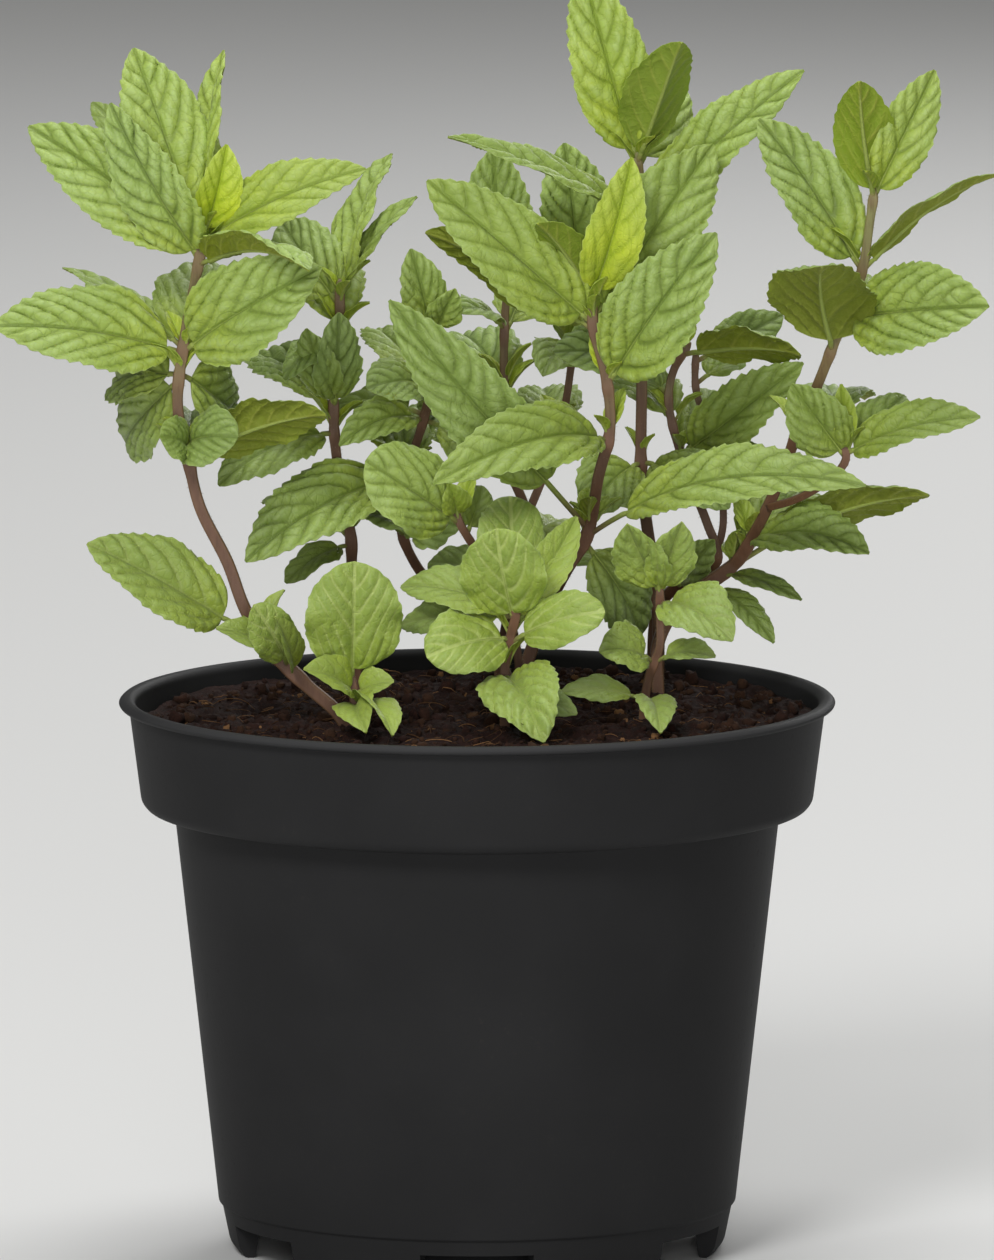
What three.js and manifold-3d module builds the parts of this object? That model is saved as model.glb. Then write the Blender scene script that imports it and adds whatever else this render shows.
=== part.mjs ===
// A young mint plant in a round nursery pot, in millimetres with +Z up.
// The origin is the centre of the pot's foot, on the ground, and the front of the plant looks along -Y.
// Each leafy shoot is one solid: a square stem with its leaves let into it.
import * as THREE from "three";
import { mergeVertices } from "three/addons/utils/BufferGeometryUtils.js";
import Module from "manifold-3d";

const wasm = await Module();
wasm.setup();

// ---------------------------------------------------------------- driving dimensions

const GAP = 0.3; // between pieces that touch on the real thing
const ROUND = 36; // sides of the pot

const POT = {
  height: 101,
  rim: 65, // outer radius of the lip
  lip: 1.7, // height of the lip
  wall: 1.2,
  collarTop: 63.1, // outer radius under the lip
  collarBottom: 60.9,
  collarFloor: 82.4, // height where the collar turns in to the step
  step: 80.4, // height of the step's underside
  shoulder: 54.9, // outer radius of the body under the step
  waist: 47, // outer radius of the body above the foot
  groove: 8.6, // height of the fine line round the foot
  foot: 45, // outer radius of the foot ring
  ring: 42, // its inner radius
  disc: 26, // radius of the flat middle of the base, which stands on the ground like the ring
  channel: 6.5, // height of the drain channel between the two
};

const MIDDLE = { radius: 20, sides: 9 }; // the flat plate that closes the base in its middle
const NOTCH = { count: 6, width: 19.7, height: 6, depth: 12 }; // gaps in the foot ring
const DRAIN = { count: 6, radius: 4, ring: 34, sides: 8 }; // holes in the channel

const SOIL = { level: 97.5, radius: 60.8, rings: 2, sides: 20 };

const STEM_STEP = 12; // spacing of a stem's sections
const BLADE = 0.75; // thickness of a leaf
const PETIOLE = 0.62; // half the width of a leaf stalk

// What each kind of leaf looks like: the length of its stalk, whether its blade is creased along the rib
// and by how much its halves fold up there, the number and depth of its teeth on each side,
// the width under which it has one tooth fewer, and how full its outline is at the base and the point.
const KINDS = {
  mature: { stalk: 2, creased: true, fold: 0.2, teeth: 4, depth: 0.05, small: 15, base: 0.5, point: 0.76 },
  bright: { stalk: 2, creased: true, fold: 0.22, teeth: 4, depth: 0.05, small: 15, base: 0.5, point: 0.76 },
  young: { stalk: 0.8, creased: true, fold: 0.42, teeth: 3, depth: 0.05, small: 8, base: 0.5, point: 0.76 },
  shade: { stalk: 2, creased: false, fold: 0, teeth: 3, depth: 0.05, small: 13, base: 0.5, point: 0.7 },
  round: { stalk: 3, creased: false, fold: 0, teeth: 4, depth: 0.02, small: 14, base: 0.48, point: 0.52 },
};

// ---------------------------------------------------------------- the plant, as it grew

// A leaf: the height where it leaves its stem, its tip, its width, the way its upper face looks,
// how far it arches as a share of its length, its kind, and its stalk where that is unusual.
function leaf(at, tip, width, face, arch, kind, stalk = KINDS[kind].stalk) {
  return { at, tip, width, face, arch, kind, stalk };
}

// A stem: the points that it passes through, its radius at the foot and at the top, and its leaves.
function stem(points, foot, top, leaves) {
  return { points, foot, top, leaves };
}

const SHOOTS = {
  shoot_left_tall: [
    stem(
      [[-22, -12, 86], [-24, -12, 98], [-31, -12, 105], [-38, -12, 112], [-42, -12, 119],
        [-45, -11, 127], [-50, -10, 137], [-52, -9, 145], [-54, -8, 155], [-53, -8, 166],
        [-51, -8, 177], [-49, -8, 187]],
      1.4, 1.0,
      [
        leaf(184, [-62, 3, 219], 18, [0.25, -1, 0.25], 0.06, "mature", 2),
        leaf(183, [-81, 0, 205], 16, [-0.3, -0.8, 0.55], 0.06, "mature", 2),
        leaf(182, [-66, -17, 211], 14, [-0.45, -0.85, 0.25], 0.08, "mature", 1),
        leaf(185, [-20, -14, 199], 13, [-0.1, -0.75, 0.65], 0.1, "bright", 2),
        leaf(186, [-46, 8, 218], 13, [-0.8, -0.55, 0.2], 0.04, "bright", 1),
        leaf(186, [-45, -12, 203], 9, [0.2, -1, 0.1], 0.05, "young"),
        leaf(181, [-30, -33, 183], 15, [0.1, 0.3, 1], 0.1, "mature", 2),
        leaf(183, [-70, 16, 208], 9, [0, -0.8, 0.6], 0.15, "shade"),
        leaf(165, [-87, -16, 171], 18, [-0.1, -0.75, 0.65], 0.07, "mature"),
        leaf(166, [-75, 14, 178], 11, [0.34, -0.15, 0.9], 0.04, "shade"),
        leaf(165, [-28, -22, 182], 18, [0.2, -0.85, 0.5], 0.08, "mature"),
        leaf(165, [-49, 20, 178], 15, [0, -0.7, 0.7], 0.1, "shade"),
        leaf(161, [-67, 10, 156], 13, [-0.3, -0.8, 0.6], 0.1, "shade"),
        leaf(160, [-64, 12, 146], 16, [-0.2, -0.9, 0.3], 0.1, "shade"),
        leaf(161, [-44, 12, 151], 15, [0.2, -0.9, 0.3], 0.1, "shade"),
        leaf(146, [-27, -16, 155], 13, [0, 0.8, 0.6], 0.06, "shade"),
        leaf(147, [-57, -19, 151], 9, [0, -0.9, 0.4], 0.15, "round", 1),
        leaf(148, [-43, -20, 151], 12, [0.1, -0.9, 0.4], 0.15, "round", 1),
        leaf(145, [-52, 26, 149], 14, [0, -0.1, 1], 0.12, "shade"),
        leaf(113, [-70, -22, 132], 16, [-0.2, -0.8, 0.55], 0.02, "bright", 8),
        leaf(111, [-47, -18, 116], 6, [0, -0.8, 0.6], 0.15, "young"),
        leaf(108, [-40, -24, 121], 9, [-0.2, -0.8, 0.6], 0.1, "round"),
        leaf(107, [-36, -25, 119], 6, [0.6, -0.8, 0.2], 0.05, "young"),
      ],
    ),
  ],
  shoot_left_back: [
    stem(
      [[-22, 24, 86], [-22, 24, 98], [-23, 23, 116], [-23, 22, 127], [-25, 20, 138],
        [-26, 19, 147], [-26, 19, 156], [-25, 19, 166], [-25, 19, 175]],
      1.3, 0.9,
      [
        leaf(151, [-25, 8, 170], 10, [0.2, -1, 0.3], 0.08, "shade"),
        leaf(152, [-31, 8, 167], 9, [-0.3, -0.9, 0.3], 0.08, "shade"),
        leaf(171, [-16, 30, 197], 14, [-0.8, -0.6, 0.15], 0.05, "mature"),
        leaf(170, [-36, 32, 184], 14, [-0.2, -0.9, 0.3], 0.06, "shade"),
        leaf(165, [-30, 50, 174], 14, [0, -0.1, 1], 0.12, "mature"),
        leaf(173, [-11, 20, 190], 9, [-0.8, -0.4, 0.5], 0.05, "mature"),
        leaf(163, [-35, 8, 158], 7, [-0.2, -0.8, 0.6], 0.2, "shade"),
        leaf(147, [-47, 6, 139], 12, [-0.1, -0.7, 0.7], 0.12, "shade"),
        leaf(151, [-42, 40, 158], 14, [-0.2, -0.1, 1], 0.12, "mature"),
        leaf(127, [-38, 44, 131], 14, [-0.1, -0.1, 1], 0.12, "shade"),
        leaf(126, [-35, 14, 120], 8, [-0.2, -0.8, 0.6], 0.15, "shade"),
      ],
    ),
  ],
  shoot_middle_left: [
    stem(
      [[6, 32, 86], [6, 32, 98], [3, 32, 105], [-4, 31, 113], [-11, 28, 121], [-14, 26, 129],
        [-13, 24, 138], [-10, 22, 148], [-8, 20, 157], [-8, 17, 167]],
      1.2, 0.8,
      [
        leaf(165, [-12, 14, 181], 9, [0.1, -1, 0.2], 0.05, "mature"),
        leaf(165, [-4, 10, 174], 7, [0.2, -1, 0.2], 0.05, "mature"),
        leaf(155, [-20, 10, 156], 12, [0, -0.7, 0.75], 0.12, "shade"),
        leaf(149, [-25, 8, 146], 9, [0, -0.7, 0.7], 0.15, "mature"),
        leaf(149, [3, 22, 141], 11, [0, -0.8, 0.6], 0.15, "shade"),
        leaf(138, [-42, 2, 125.5], 16, [-0.25, -0.85, 0.45], 0.12, "mature", 5),
        leaf(150, [-27, 27, 150], 12, [0, -0.4, 0.9], 0.12, "shade"),
        leaf(152, [-20, 48, 162], 13, [0, -0.1, 1], 0.12, "mature"),
        leaf(127, [-22, 12, 133], 11, [0, -0.7, 0.7], 0.1, "shade"),
        leaf(127, [0, 15, 133], 12, [0, -0.8, 0.6], 0.08, "shade"),
        leaf(138, [-16, 54, 146], 13, [0, -0.1, 1], 0.12, "mature"),
      ],
    ),
  ],
  shoot_middle_round: [
    stem(
      [[8, 1, 86], [8, 1, 98], [7, 0, 111], [4, -2, 121], [0, -3, 128], [-3, -4, 133], [-4, -4, 136]],
      1.0, 0.7,
      [
        leaf(133, [-20, -14, 146], 17, [-0.1, -0.85, 0.5], 0.08, "round", 2),
        leaf(134, [-5, -8, 141], 6, [0.1, -1, 0.3], 0.05, "young"),
        leaf(131, [1, 4, 139], 8, [0.2, -0.9, 0.3], 0.05, "shade", 1),
        leaf(123, [-9, 5, 125], 9, [0, -0.8, 0.6], 0.1, "shade", 1),
      ],
    ),
  ],
  shoot_back: [
    stem(
      [[4, 45, 86], [4, 45, 98], [6, 45, 112], [9, 44, 128], [6, 44, 137], [5, 44, 149],
        [5, 44, 164], [6, 44, 175]],
      1.2, 0.8,
      [
        leaf(173, [3, 46, 196], 13, [-0.1, -0.95, 0.3], 0.05, "mature"),
        leaf(163, [-4, 30, 168], 9, [-0.3, -0.8, 0.6], 0.1, "shade"),
        leaf(162, [10, 58, 168], 10, [0.1, -0.6, 0.8], 0.1, "shade"),
        leaf(152, [-11, 38, 149], 12, [-0.1, -0.8, 0.6], 0.1, "shade"),
        leaf(150, [-4, 72, 158], 14, [0, -0.1, 1], 0.12, "mature"),
        leaf(137, [-14, 62, 146], 14, [-0.2, -0.2, 1], 0.12, "shade"),
        leaf(112, [-6, 66, 115], 14, [0, -0.1, 1], 0.1, "shade"),
        leaf(118, [16, 68, 124], 13, [0.1, -0.1, 1], 0.12, "round"),
      ],
    ),
    stem(
      [[9, 44, 128], [12, 46, 135], [15, 48, 143], [17, 48, 154], [18, 47, 166], [19, 46, 175]],
      0.9, 0.7,
      [
        leaf(172, [16, 44, 197], 15, [0.1, -1, 0.2], 0.05, "mature"),
        leaf(158, [12, 30, 156], 10, [0, -0.7, 0.7], 0.15, "shade"),
        leaf(157, [30, 66, 166], 14, [0.2, -0.1, 1], 0.12, "mature"),
        leaf(142, [12, 68, 149], 13, [0, -0.1, 1], 0.12, "shade"),
      ],
    ),
  ],
  shoot_middle_tall: [
    stem(
      [[6, 14, 86], [7, 14, 98], [10, 14, 108], [13, 14, 116], [16, 13, 122], [20, 12, 129],
        [22, 9, 140], [24, 8, 148], [24, 8, 154], [23, 8, 160], [21, 8, 168], [21, 8, 175]],
      1.45, 1.0,
      [
        leaf(129, [70, -16, 142], 13, [0.1, -0.75, 0.65], 0.13, "mature", 10),
        leaf(130, [-16, -4, 174], 15, [-0.35, -0.8, 0.5], 0.15, "mature", 14),
        leaf(147, [-8, -20, 143], 14, [0, -0.8, 0.6], 0.14, "bright", 2),
        leaf(168, [-9, 2, 195], 17, [-0.3, -0.8, 0.5], 0.06, "bright", 2),
        leaf(167, [-9, 20, 184], 15, [0.2, 0.7, 0.7], 0.04, "shade"),
        leaf(169, [43, 16, 200], 18, [0.3, -0.9, 0.3], 0.05, "mature"),
        leaf(157, [43, -4, 186], 17, [0.2, -0.85, 0.5], 0.06, "mature"),
        leaf(173, [28, 2, 199], 11, [0.1, -1, 0.1], 0.05, "young"),
        leaf(173, [11, -5, 188], 9, [0.3, 0.9, 0.2], 0.08, "young"),
        leaf(128, [30, 20, 109], 13, [0.3, -0.9, 0.3], 0.1, "shade"),
      ],
    ),
  ],
  shoot_centre_tallest: [
    stem(
      [[33, 34, 86], [33, 34, 98], [33, 33, 114], [31, 32, 128], [30, 32, 136], [30, 31, 154], [30, 30, 169],
        [30, 29, 184], [29, 28, 197]],
      1.4, 1.0,
      [
        leaf(195, [19, 30, 231], 15, [-0.1, -1, 0.1], 0.04, "bright", 2),
        leaf(195, [37, 16, 219], 13, [-0.1, 0.9, 0.3], 0.04, "young", 2),
        leaf(186, [59, 22, 213], 13, [-0.2, -0.8, 0.55], 0.03, "mature"),
        leaf(194, [37, 44, 208], 12, [0.2, -0.9, 0.4], 0.08, "mature"),
        leaf(185, [-5, 14, 202], 11, [0, -0.35, 0.95], 0.03, "mature"),
        leaf(170, [34, 61, 180], 14, [0.1, -0.1, 1], 0.12, "mature"),
        leaf(158, [14, 17, 162], 12, [0, -0.8, 0.6], 0.1, "shade"),
        leaf(140, [20, 20, 132], 14, [-0.1, -0.8, 0.6], 0.12, "shade"),
        leaf(140, [46, 20, 133], 13, [0.1, -0.8, 0.6], 0.12, "shade"),
        leaf(114, [14, 54, 119], 13, [0, -0.1, 1], 0.12, "shade"),
      ],
    ),
  ],
  shoot_right_tall: [
    stem(
      [[33, 26, 86], [33, 26, 98], [33, 26, 107], [36, 26, 113], [42, 26, 118], [47, 25, 122], [51, 22, 129],
        [55, 19, 138], [58, 15, 147], [62, 12, 157], [65, 10, 165], [68, 9, 172], [70, 8, 179],
        [71, 8, 186], [72, 8, 193]],
      1.4, 0.9,
      [
        leaf(191, [69, 2, 213], 12, [0, 1, 0.2], 0.04, "young"),
        leaf(191, [83, 12, 214], 11, [0.1, -1, 0.2], 0.05, "bright", 1),
        leaf(178, [51, 12, 205], 15, [0.1, -0.9, 0.3], 0.02, "mature"),
        leaf(178, [94, -2, 197], 9, [-0.4, 0.5, 0.75], 0.06, "shade"),
        leaf(163, [62, -14, 182], 20, [0, 0.85, 0.5], 0.06, "shade"),
        leaf(169, [92, -14, 174], 18, [0.3, -0.9, 0.35], 0.03, "mature"),
        leaf(163, [74, 40, 172], 14, [0.1, -0.1, 1], 0.12, "mature"),
        leaf(147, [71, 44, 150], 14, [0, -0.1, 1], 0.12, "shade"),
        leaf(124, [62, 48, 132], 14, [0.2, -0.1, 1], 0.12, "shade"),
        leaf(121, [82, 8, 137], 13, [0, 0.6, 0.8], 0.08, "shade", 10),
        leaf(126, [71, 4, 127], 13, [0.1, -0.7, 0.7], 0.12, "mature"),
        leaf(120, [59, 14, 117], 5, [0, -0.6, 0.8], 0.1, "shade"),
        leaf(118, [54, 14, 109], 6, [0.3, -0.8, 0.5], 0.1, "shade"),
      ],
    ),
    stem(
      [[53, 20, 133], [58, 16, 135], [64, 13, 139], [67, 12, 143], [66, 12, 147]],
      0.8, 0.7,
      [
        leaf(143, [57, 8, 157], 12, [-0.3, -0.9, 0.3], 0.05, "mature", 1),
        leaf(145, [66, 8, 157], 5, [0, -1, 0.1], 0.05, "young"),
        leaf(145, [78, 24, 153], 9, [0, -0.8, 0.6], 0.08, "mature", 1),
        leaf(144, [91, 2, 152], 11, [0, -0.8, 0.6], 0.08, "bright", 1),
      ],
    ),
  ],
  shoot_right_back: [
    stem(
      [[32, 44, 86], [32, 44, 98], [33, 43, 111], [38, 39, 117], [44, 36, 121], [42, 36, 128], [38, 38, 138],
        [35, 39, 150], [36, 39, 156], [39, 38, 161]],
      1.1, 0.8,
      [
        leaf(159, [59, 22, 161], 12, [0, 0.8, 0.6], 0.06, "shade"),
        leaf(140, [50, 62, 147], 14, [0.2, -0.1, 1], 0.12, "shade"),
        leaf(115, [43, 26, 126], 8, [0, -1, 0.3], 0.05, "shade"),
        leaf(140, [59, 24, 159], 12, [0.2, -0.85, 0.5], 0.06, "mature"),
        leaf(139, [53, 30, 142], 9, [0, 0.6, 0.8], 0.08, "shade"),
        leaf(151, [30, 46, 154], 7, [0, -0.7, 0.7], 0.08, "shade"),
        leaf(146, [25, 61, 151], 13, [0, -0.1, 1], 0.12, "shade"),
      ],
    ),
    stem(
      [[43, 37, 120], [45, 37, 128], [43, 40, 142], [40, 42, 152], [40, 42, 159]],
      0.8, 0.7,
      [
        leaf(157, [56, 46, 165], 9, [0.2, -0.8, 0.5], 0.06, "shade"),
        leaf(153, [49, 50, 157], 8, [0, -0.5, 0.9], 0.08, "shade"),
      ],
    ),
  ],
  shoot_front_right: [
    stem(
      [[30, -10, 86], [30, -10, 98], [31, -11, 106], [33, -12, 112], [33, -12, 117], [33, -13, 123]],
      1.0, 0.8,
      [
        leaf(121, [27, -20, 135], 11, [-0.4, -0.8, 0.5], -0.05, "bright", 1),
        leaf(121, [37, -18, 135], 10, [0.4, -0.8, 0.5], -0.05, "bright", 1),
        leaf(120, [46, -26, 115], 13, [0.2, -0.8, 0.6], 0.15, "bright", 2),
        leaf(109, [22, -18, 112], 11, [-0.1, -0.8, 0.6], 0.15, "bright", 2),
        leaf(109, [43, -18, 111], 7, [0.2, -0.7, 0.7], 0.15, "bright", 2),
        leaf(102, [33, -33, 99.5], 8, [0.1, -0.4, 0.9], 0.1, "bright", 4),
        leaf(102, [15, -14, 104], 6, [0, -0.6, 0.8], 0.1, "shade"),
      ],
    ),
  ],
  shoot_front_middle: [
    stem(
      [[5, -14, 86], [5, -14, 98], [5, -15, 108], [6, -16, 114], [7, -17, 119], [6, -17, 122]],
      1.2, 0.8,
      [
        leaf(117, [3.5, -25, 135], 16, [-0.1, -0.9, 0.4], 0.06, "round", 1),
        leaf(114, [-9, -26, 112], 14, [0, -0.8, 0.6], 0.1, "round", 1),
        leaf(113, [23, -24, 120], 11, [0.1, -0.8, 0.6], 0.12, "round", 3),
        leaf(119, [-14, -12, 123], 10, [-0.1, -0.8, 0.6], 0.1, "bright"),
        leaf(118, [-14, -6, 115], 9, [-0.1, -0.8, 0.6], 0.1, "shade"),
        leaf(107, [12, -40, 98.8], 15, [-0.1, -0.6, 0.8], 0.12, "bright", 2),
        leaf(118, [18, -8, 135], 8, [0.1, -1, 0.2], 0.05, "young"),
        leaf(117, [15, -12, 128], 6, [0.1, -1, 0.2], 0.05, "young"),
        leaf(120, [6, -2, 138], 13, [0, -0.9, 0.4], 0.05, "round"),
        leaf(103, [18, -22, 101], 7, [0.1, -0.7, 0.7], 0.1, "shade"),
      ],
    ),
  ],
  shoot_front_left: [
    stem(
      [[-20, -18, 86], [-21, -18, 98], [-22, -18, 103], [-23, -18, 108]],
      1.2, 0.9,
      [
        leaf(106, [-22, -25, 129], 18, [0, -1, 0.3], 0.06, "round", 2),
        leaf(104, [-31, -27, 110], 8, [-0.2, -0.8, 0.6], 0.12, "young"),
        leaf(102, [-20, -34, 99.5], 8, [-0.2, -0.6, 0.7], 0.12, "young"),
        leaf(102, [-15, -36, 99.5], 8, [0.4, -0.6, 0.7], 0.12, "young"),
        leaf(104, [-15, -22, 107], 6, [0.2, -0.8, 0.6], 0.12, "young"),
      ],
    ),
  ],
};

const COLOURS = {
  pot: 0x262628,
  soil: 0x2e1a14,
  shoot: 0x8fa85a,
};

// ---------------------------------------------------------------- solids

// A manifold solid from a list of points and a list of triangles.
function solidFrom(points, triangles) {
  const vertProperties = new Float32Array(points.flat());
  const triVerts = new Uint32Array(triangles.flat());
  return new wasm.Manifold(new wasm.Mesh({ numProp: 3, vertProperties, triVerts }));
}

// A manifold solid from a closed three.js geometry.
function solidOf(geometry) {
  const bare = new THREE.BufferGeometry();
  bare.setAttribute("position", geometry.getAttribute("position"));
  bare.setIndex(geometry.getIndex());
  const merged = mergeVertices(bare, 1e-4);
  const corners = merged.getAttribute("position");
  const points = [];
  for (let i = 0; i < corners.count; i += 1) {
    points.push([corners.getX(i), corners.getY(i), corners.getZ(i)]);
  }
  const triangles = [];
  const index = merged.getIndex().array;
  for (let i = 0; i < index.length; i += 3) {
    const [a, b, c] = index.slice(i, i + 3);
    if (a !== b && b !== c && c !== a) triangles.push([a, b, c]);
  }
  return solidFrom(points, triangles);
}

// Skins a row of rings that have the same even number of points, and closes both ends.
// The panels of a leaf are split alike on its upper and lower face, outwards from the rib.
function loft(rings) {
  const sides = rings[0].length;
  const triangles = [];
  for (let i = 0; i + 1 < rings.length; i += 1) {
    for (let k = 0; k < sides; k += 1) {
      const a = i * sides + k;
      const b = i * sides + ((k + 1) % sides);
      const c = b + sides;
      const d = a + sides;
      if (k % 3 === 0) triangles.push([a, b, d], [b, c, d]);
      else triangles.push([a, b, c], [a, c, d]);
    }
  }
  const last = (rings.length - 1) * sides;
  for (let k = 0; k < sides / 2 - 1; k += 1) {
    const [a, b, c, d] = [k, k + 1, sides - 2 - k, sides - 1 - k];
    triangles.push([a, c, b], [a, d, c]);
    triangles.push([last + a, last + b, last + c], [last + a, last + c, last + d]);
  }
  return solidFrom(rings.flat().map((point) => point.toArray()), triangles);
}

// ---------------------------------------------------------------- stems and leaves

// A square stem along a smooth curve, thinning from its foot to its top, or the hole for it,
// which is grown all round and below.
function stemSolid({ points, foot, top }, grow = 0) {
  const curve = new THREE.CatmullRomCurve3(points.map((point) => new THREE.Vector3(...point)));
  const count = Math.max(2, Math.round(curve.getLength() / STEM_STEP));
  const frames = curve.computeFrenetFrames(count);
  const rings = [];
  for (let i = 0; i <= count; i += 1) {
    const centre = curve.getPointAt(i / count);
    if (i === 0) centre.z -= grow;
    const half = foot + ((top - foot) * i) / count + grow;
    const ring = [[-1, -1], [1, -1], [1, 1], [-1, 1]].map(([across, up]) =>
      centre
        .clone()
        .addScaledVector(frames.normals[i], across * half)
        .addScaledVector(frames.binormals[i], up * half),
    );
    rings.push(ring);
  }
  return loft(rings);
}

// The point at a given height on a stem.
function pointOnStem({ points }, height) {
  for (let i = 1; i < points.length; i += 1) {
    const low = new THREE.Vector3(...points[i - 1]);
    const high = new THREE.Vector3(...points[i]);
    if (height <= high.z) return low.lerp(high, (height - low.z) / (high.z - low.z));
  }
  return new THREE.Vector3(...points[points.length - 1]);
}

// Half the width of a blade at a share of its length: zero at both ends, widest before the middle.
function outline(share, { base, point }) {
  const widest = base / (base + point);
  return (share / widest) ** base * ((1 - share) / (1 - widest)) ** point;
}

// A leaf as an arched strip. Each section has a left edge, a rib if it is creased, and a right edge,
// and the same points below. Every second edge point is the tip of a tooth, drawn towards the leaf's tip.
function leafSolid(row, root) {
  const kind = KINDS[row.kind];
  const chord = new THREE.Vector3(...row.tip).sub(root);
  const length = chord.length();
  const along = chord.clone().normalize();
  const across = along.clone().cross(new THREE.Vector3(...row.face)).normalize();
  const up = across.clone().cross(along);
  const ribAt = (share) =>
    root
      .clone()
      .addScaledVector(along, length * share)
      .addScaledVector(up, row.arch * length * 4 * share * (1 - share));
  const riseAt = (share) =>
    up.clone().addScaledVector(along, -row.arch * 4 * (1 - 2 * share)).normalize();
  const section = (share, half, lift, forward) => {
    const rise = riseAt(share);
    const rib = ribAt(share);
    const edge = ribAt(Math.min(1, share + forward)).addScaledVector(rise, lift);
    const left = edge.clone().addScaledVector(across, -half);
    const right = edge.clone().addScaledVector(across, half);
    const upper = kind.creased ? [left, rib, right] : [left, right];
    const lower = upper.map((point) => point.clone().addScaledVector(rise, -BLADE));
    return [...upper, ...lower.reverse()];
  };
  const start = Math.min(0.5, (row.stalk + 1) / length);
  const rings = [section(0, PETIOLE, 0, 0), section(start, PETIOLE, 0, 0)];
  const stations = 2 * (row.width < kind.small ? kind.teeth - 1 : kind.teeth);
  for (let i = 1; i < stations; i += 1) {
    const blade = i / stations;
    const tooth = i % 2 === 1;
    const half = Math.max(PETIOLE, (row.width / 2) * outline(blade, kind) * (tooth ? 1 : 1 - 2 * kind.depth));
    const forward = tooth ? (0.55 * (1 - start)) / stations : 0;
    rings.push(section(start + (1 - start) * blade, half, kind.fold * half, forward));
  }
  rings.push(section(1, 0.4, 0, 0));
  return loft(rings);
}

function shootSolid(stems) {
  let whole = null;
  for (const each of stems) {
    const parts = [stemSolid(each), ...each.leaves.map((row) => leafSolid(row, pointOnStem(each, row.at)))];
    for (const part of parts) whole = whole ? whole.add(part) : part;
  }
  return whole;
}

// ---------------------------------------------------------------- pot

function potSolid() {
  const { height, rim, lip, wall, collarTop, collarBottom, collarFloor, step } = POT;
  const { shoulder, waist, groove, foot, ring, disc, channel } = POT;
  const hollow = MIDDLE.radius - 2;
  const profile = [
    [hollow, 0],
    [disc, 0],
    [disc + 1.5, channel],
    [ring - 1, channel],
    [ring, 0],
    [foot - 1.4, 0],
    [foot, 1.8],
    [foot + 1.4, groove],
    [waist, groove + 0.4],
    [shoulder, step],
    [collarBottom - 1, step + 0.8],
    [collarBottom, collarFloor],
    [collarTop, height - lip],
    [rim - 0.3, height - lip + 0.3],
    [rim, height - lip / 2],
    [rim - 0.8, height],
    [collarTop - 0.4, height],
    [collarTop - wall, height - 0.8],
    [collarBottom - wall, collarFloor + 0.6],
    [shoulder - wall, step + wall],
    [waist - wall, groove + 1],
    [foot - 1.6, channel + wall],
    [disc + 0.3, channel + wall],
    [disc - wall, wall],
    [hollow, wall],
    [hollow, 0],
  ];
  const turned = new THREE.LatheGeometry(profile.map(([r, z]) => new THREE.Vector2(r, z)), ROUND);
  const corners = [];
  for (let i = 0; i < MIDDLE.sides; i += 1) {
    const angle = (2 * Math.PI * i) / MIDDLE.sides;
    corners.push(new THREE.Vector2(MIDDLE.radius * Math.cos(angle), MIDDLE.radius * Math.sin(angle)));
  }
  const middle = new THREE.ExtrudeGeometry(new THREE.Shape(corners), { depth: wall, bevelEnabled: false });
  let pot = solidOf(turned.rotateX(Math.PI / 2)).add(solidOf(middle));
  for (let i = 0; i < NOTCH.count; i += 1) {
    const box = new THREE.BoxGeometry(NOTCH.width, NOTCH.depth, 2 * NOTCH.height);
    box.translate(0, -foot, 0).rotateZ((2 * Math.PI * i) / NOTCH.count);
    pot = pot.subtract(solidOf(box));
  }
  for (let i = 0; i < DRAIN.count; i += 1) {
    const hole = new THREE.CylinderGeometry(DRAIN.radius, DRAIN.radius, 3 * wall, DRAIN.sides);
    hole.rotateX(Math.PI / 2).translate(0, -DRAIN.ring, channel + wall / 2);
    hole.rotateZ((2 * Math.PI * (i + 0.5)) / DRAIN.count);
    pot = pot.subtract(solidOf(hole));
  }
  return pot;
}

// ---------------------------------------------------------------- soil

// The soil's height at a point: almost level, a little lower on the left and in front.
function soilHeight(x, y) {
  const lumps = 0.35 * Math.sin(0.31 * x + 1.3) * Math.cos(0.27 * y) + 0.25 * Math.sin(0.17 * x - 0.23 * y);
  return SOIL.level + lumps + 0.008 * x;
}

function soilSolid(stems) {
  const { collarBottom, collarFloor, step, shoulder, waist, groove, foot, disc, channel, wall } = POT;
  const { level, radius: top, rings, sides } = SOIL;
  const inset = wall + GAP;
  const side = [
    [disc - inset, inset],
    [disc, channel + inset],
    [foot - 1.6 - GAP, channel + inset],
    [waist - inset, groove + 1],
    [shoulder - inset, step + wall + GAP],
    [collarBottom - inset, collarFloor + 0.6 + GAP],
    [top, level],
  ];
  const points = [[0, 0, inset]];
  const ringOf = (radius, heightAt) => {
    for (let k = 0; k < sides; k += 1) {
      const angle = (2 * Math.PI * k) / sides;
      const x = radius * Math.cos(angle);
      const y = radius * Math.sin(angle);
      points.push([x, y, heightAt(x, y)]);
    }
  };
  for (const [radius, height] of side.slice(0, -1)) ringOf(radius, () => height);
  for (let i = rings; i > 0; i -= 1) ringOf((top * i) / rings, soilHeight);
  points.push([0, 0, soilHeight(0, 0)]);
  const triangles = [];
  const ringCount = side.length - 1 + rings;
  for (let k = 0; k < sides; k += 1) {
    const next = (k + 1) % sides;
    triangles.push([0, 1 + next, 1 + k]);
    for (let i = 0; i + 1 < ringCount; i += 1) {
      const a = 1 + i * sides;
      const b = a + sides;
      triangles.push([a + k, a + next, b + next], [a + k, b + next, b + k]);
    }
    const edge = 1 + (ringCount - 1) * sides;
    triangles.push([edge + k, edge + next, points.length - 1]);
  }
  let soil = solidFrom(points, triangles);
  for (const each of stems) soil = soil.subtract(stemSolid(each, GAP));
  return soil;
}

// ---------------------------------------------------------------- the plant

const plant = new THREE.Group();

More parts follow.
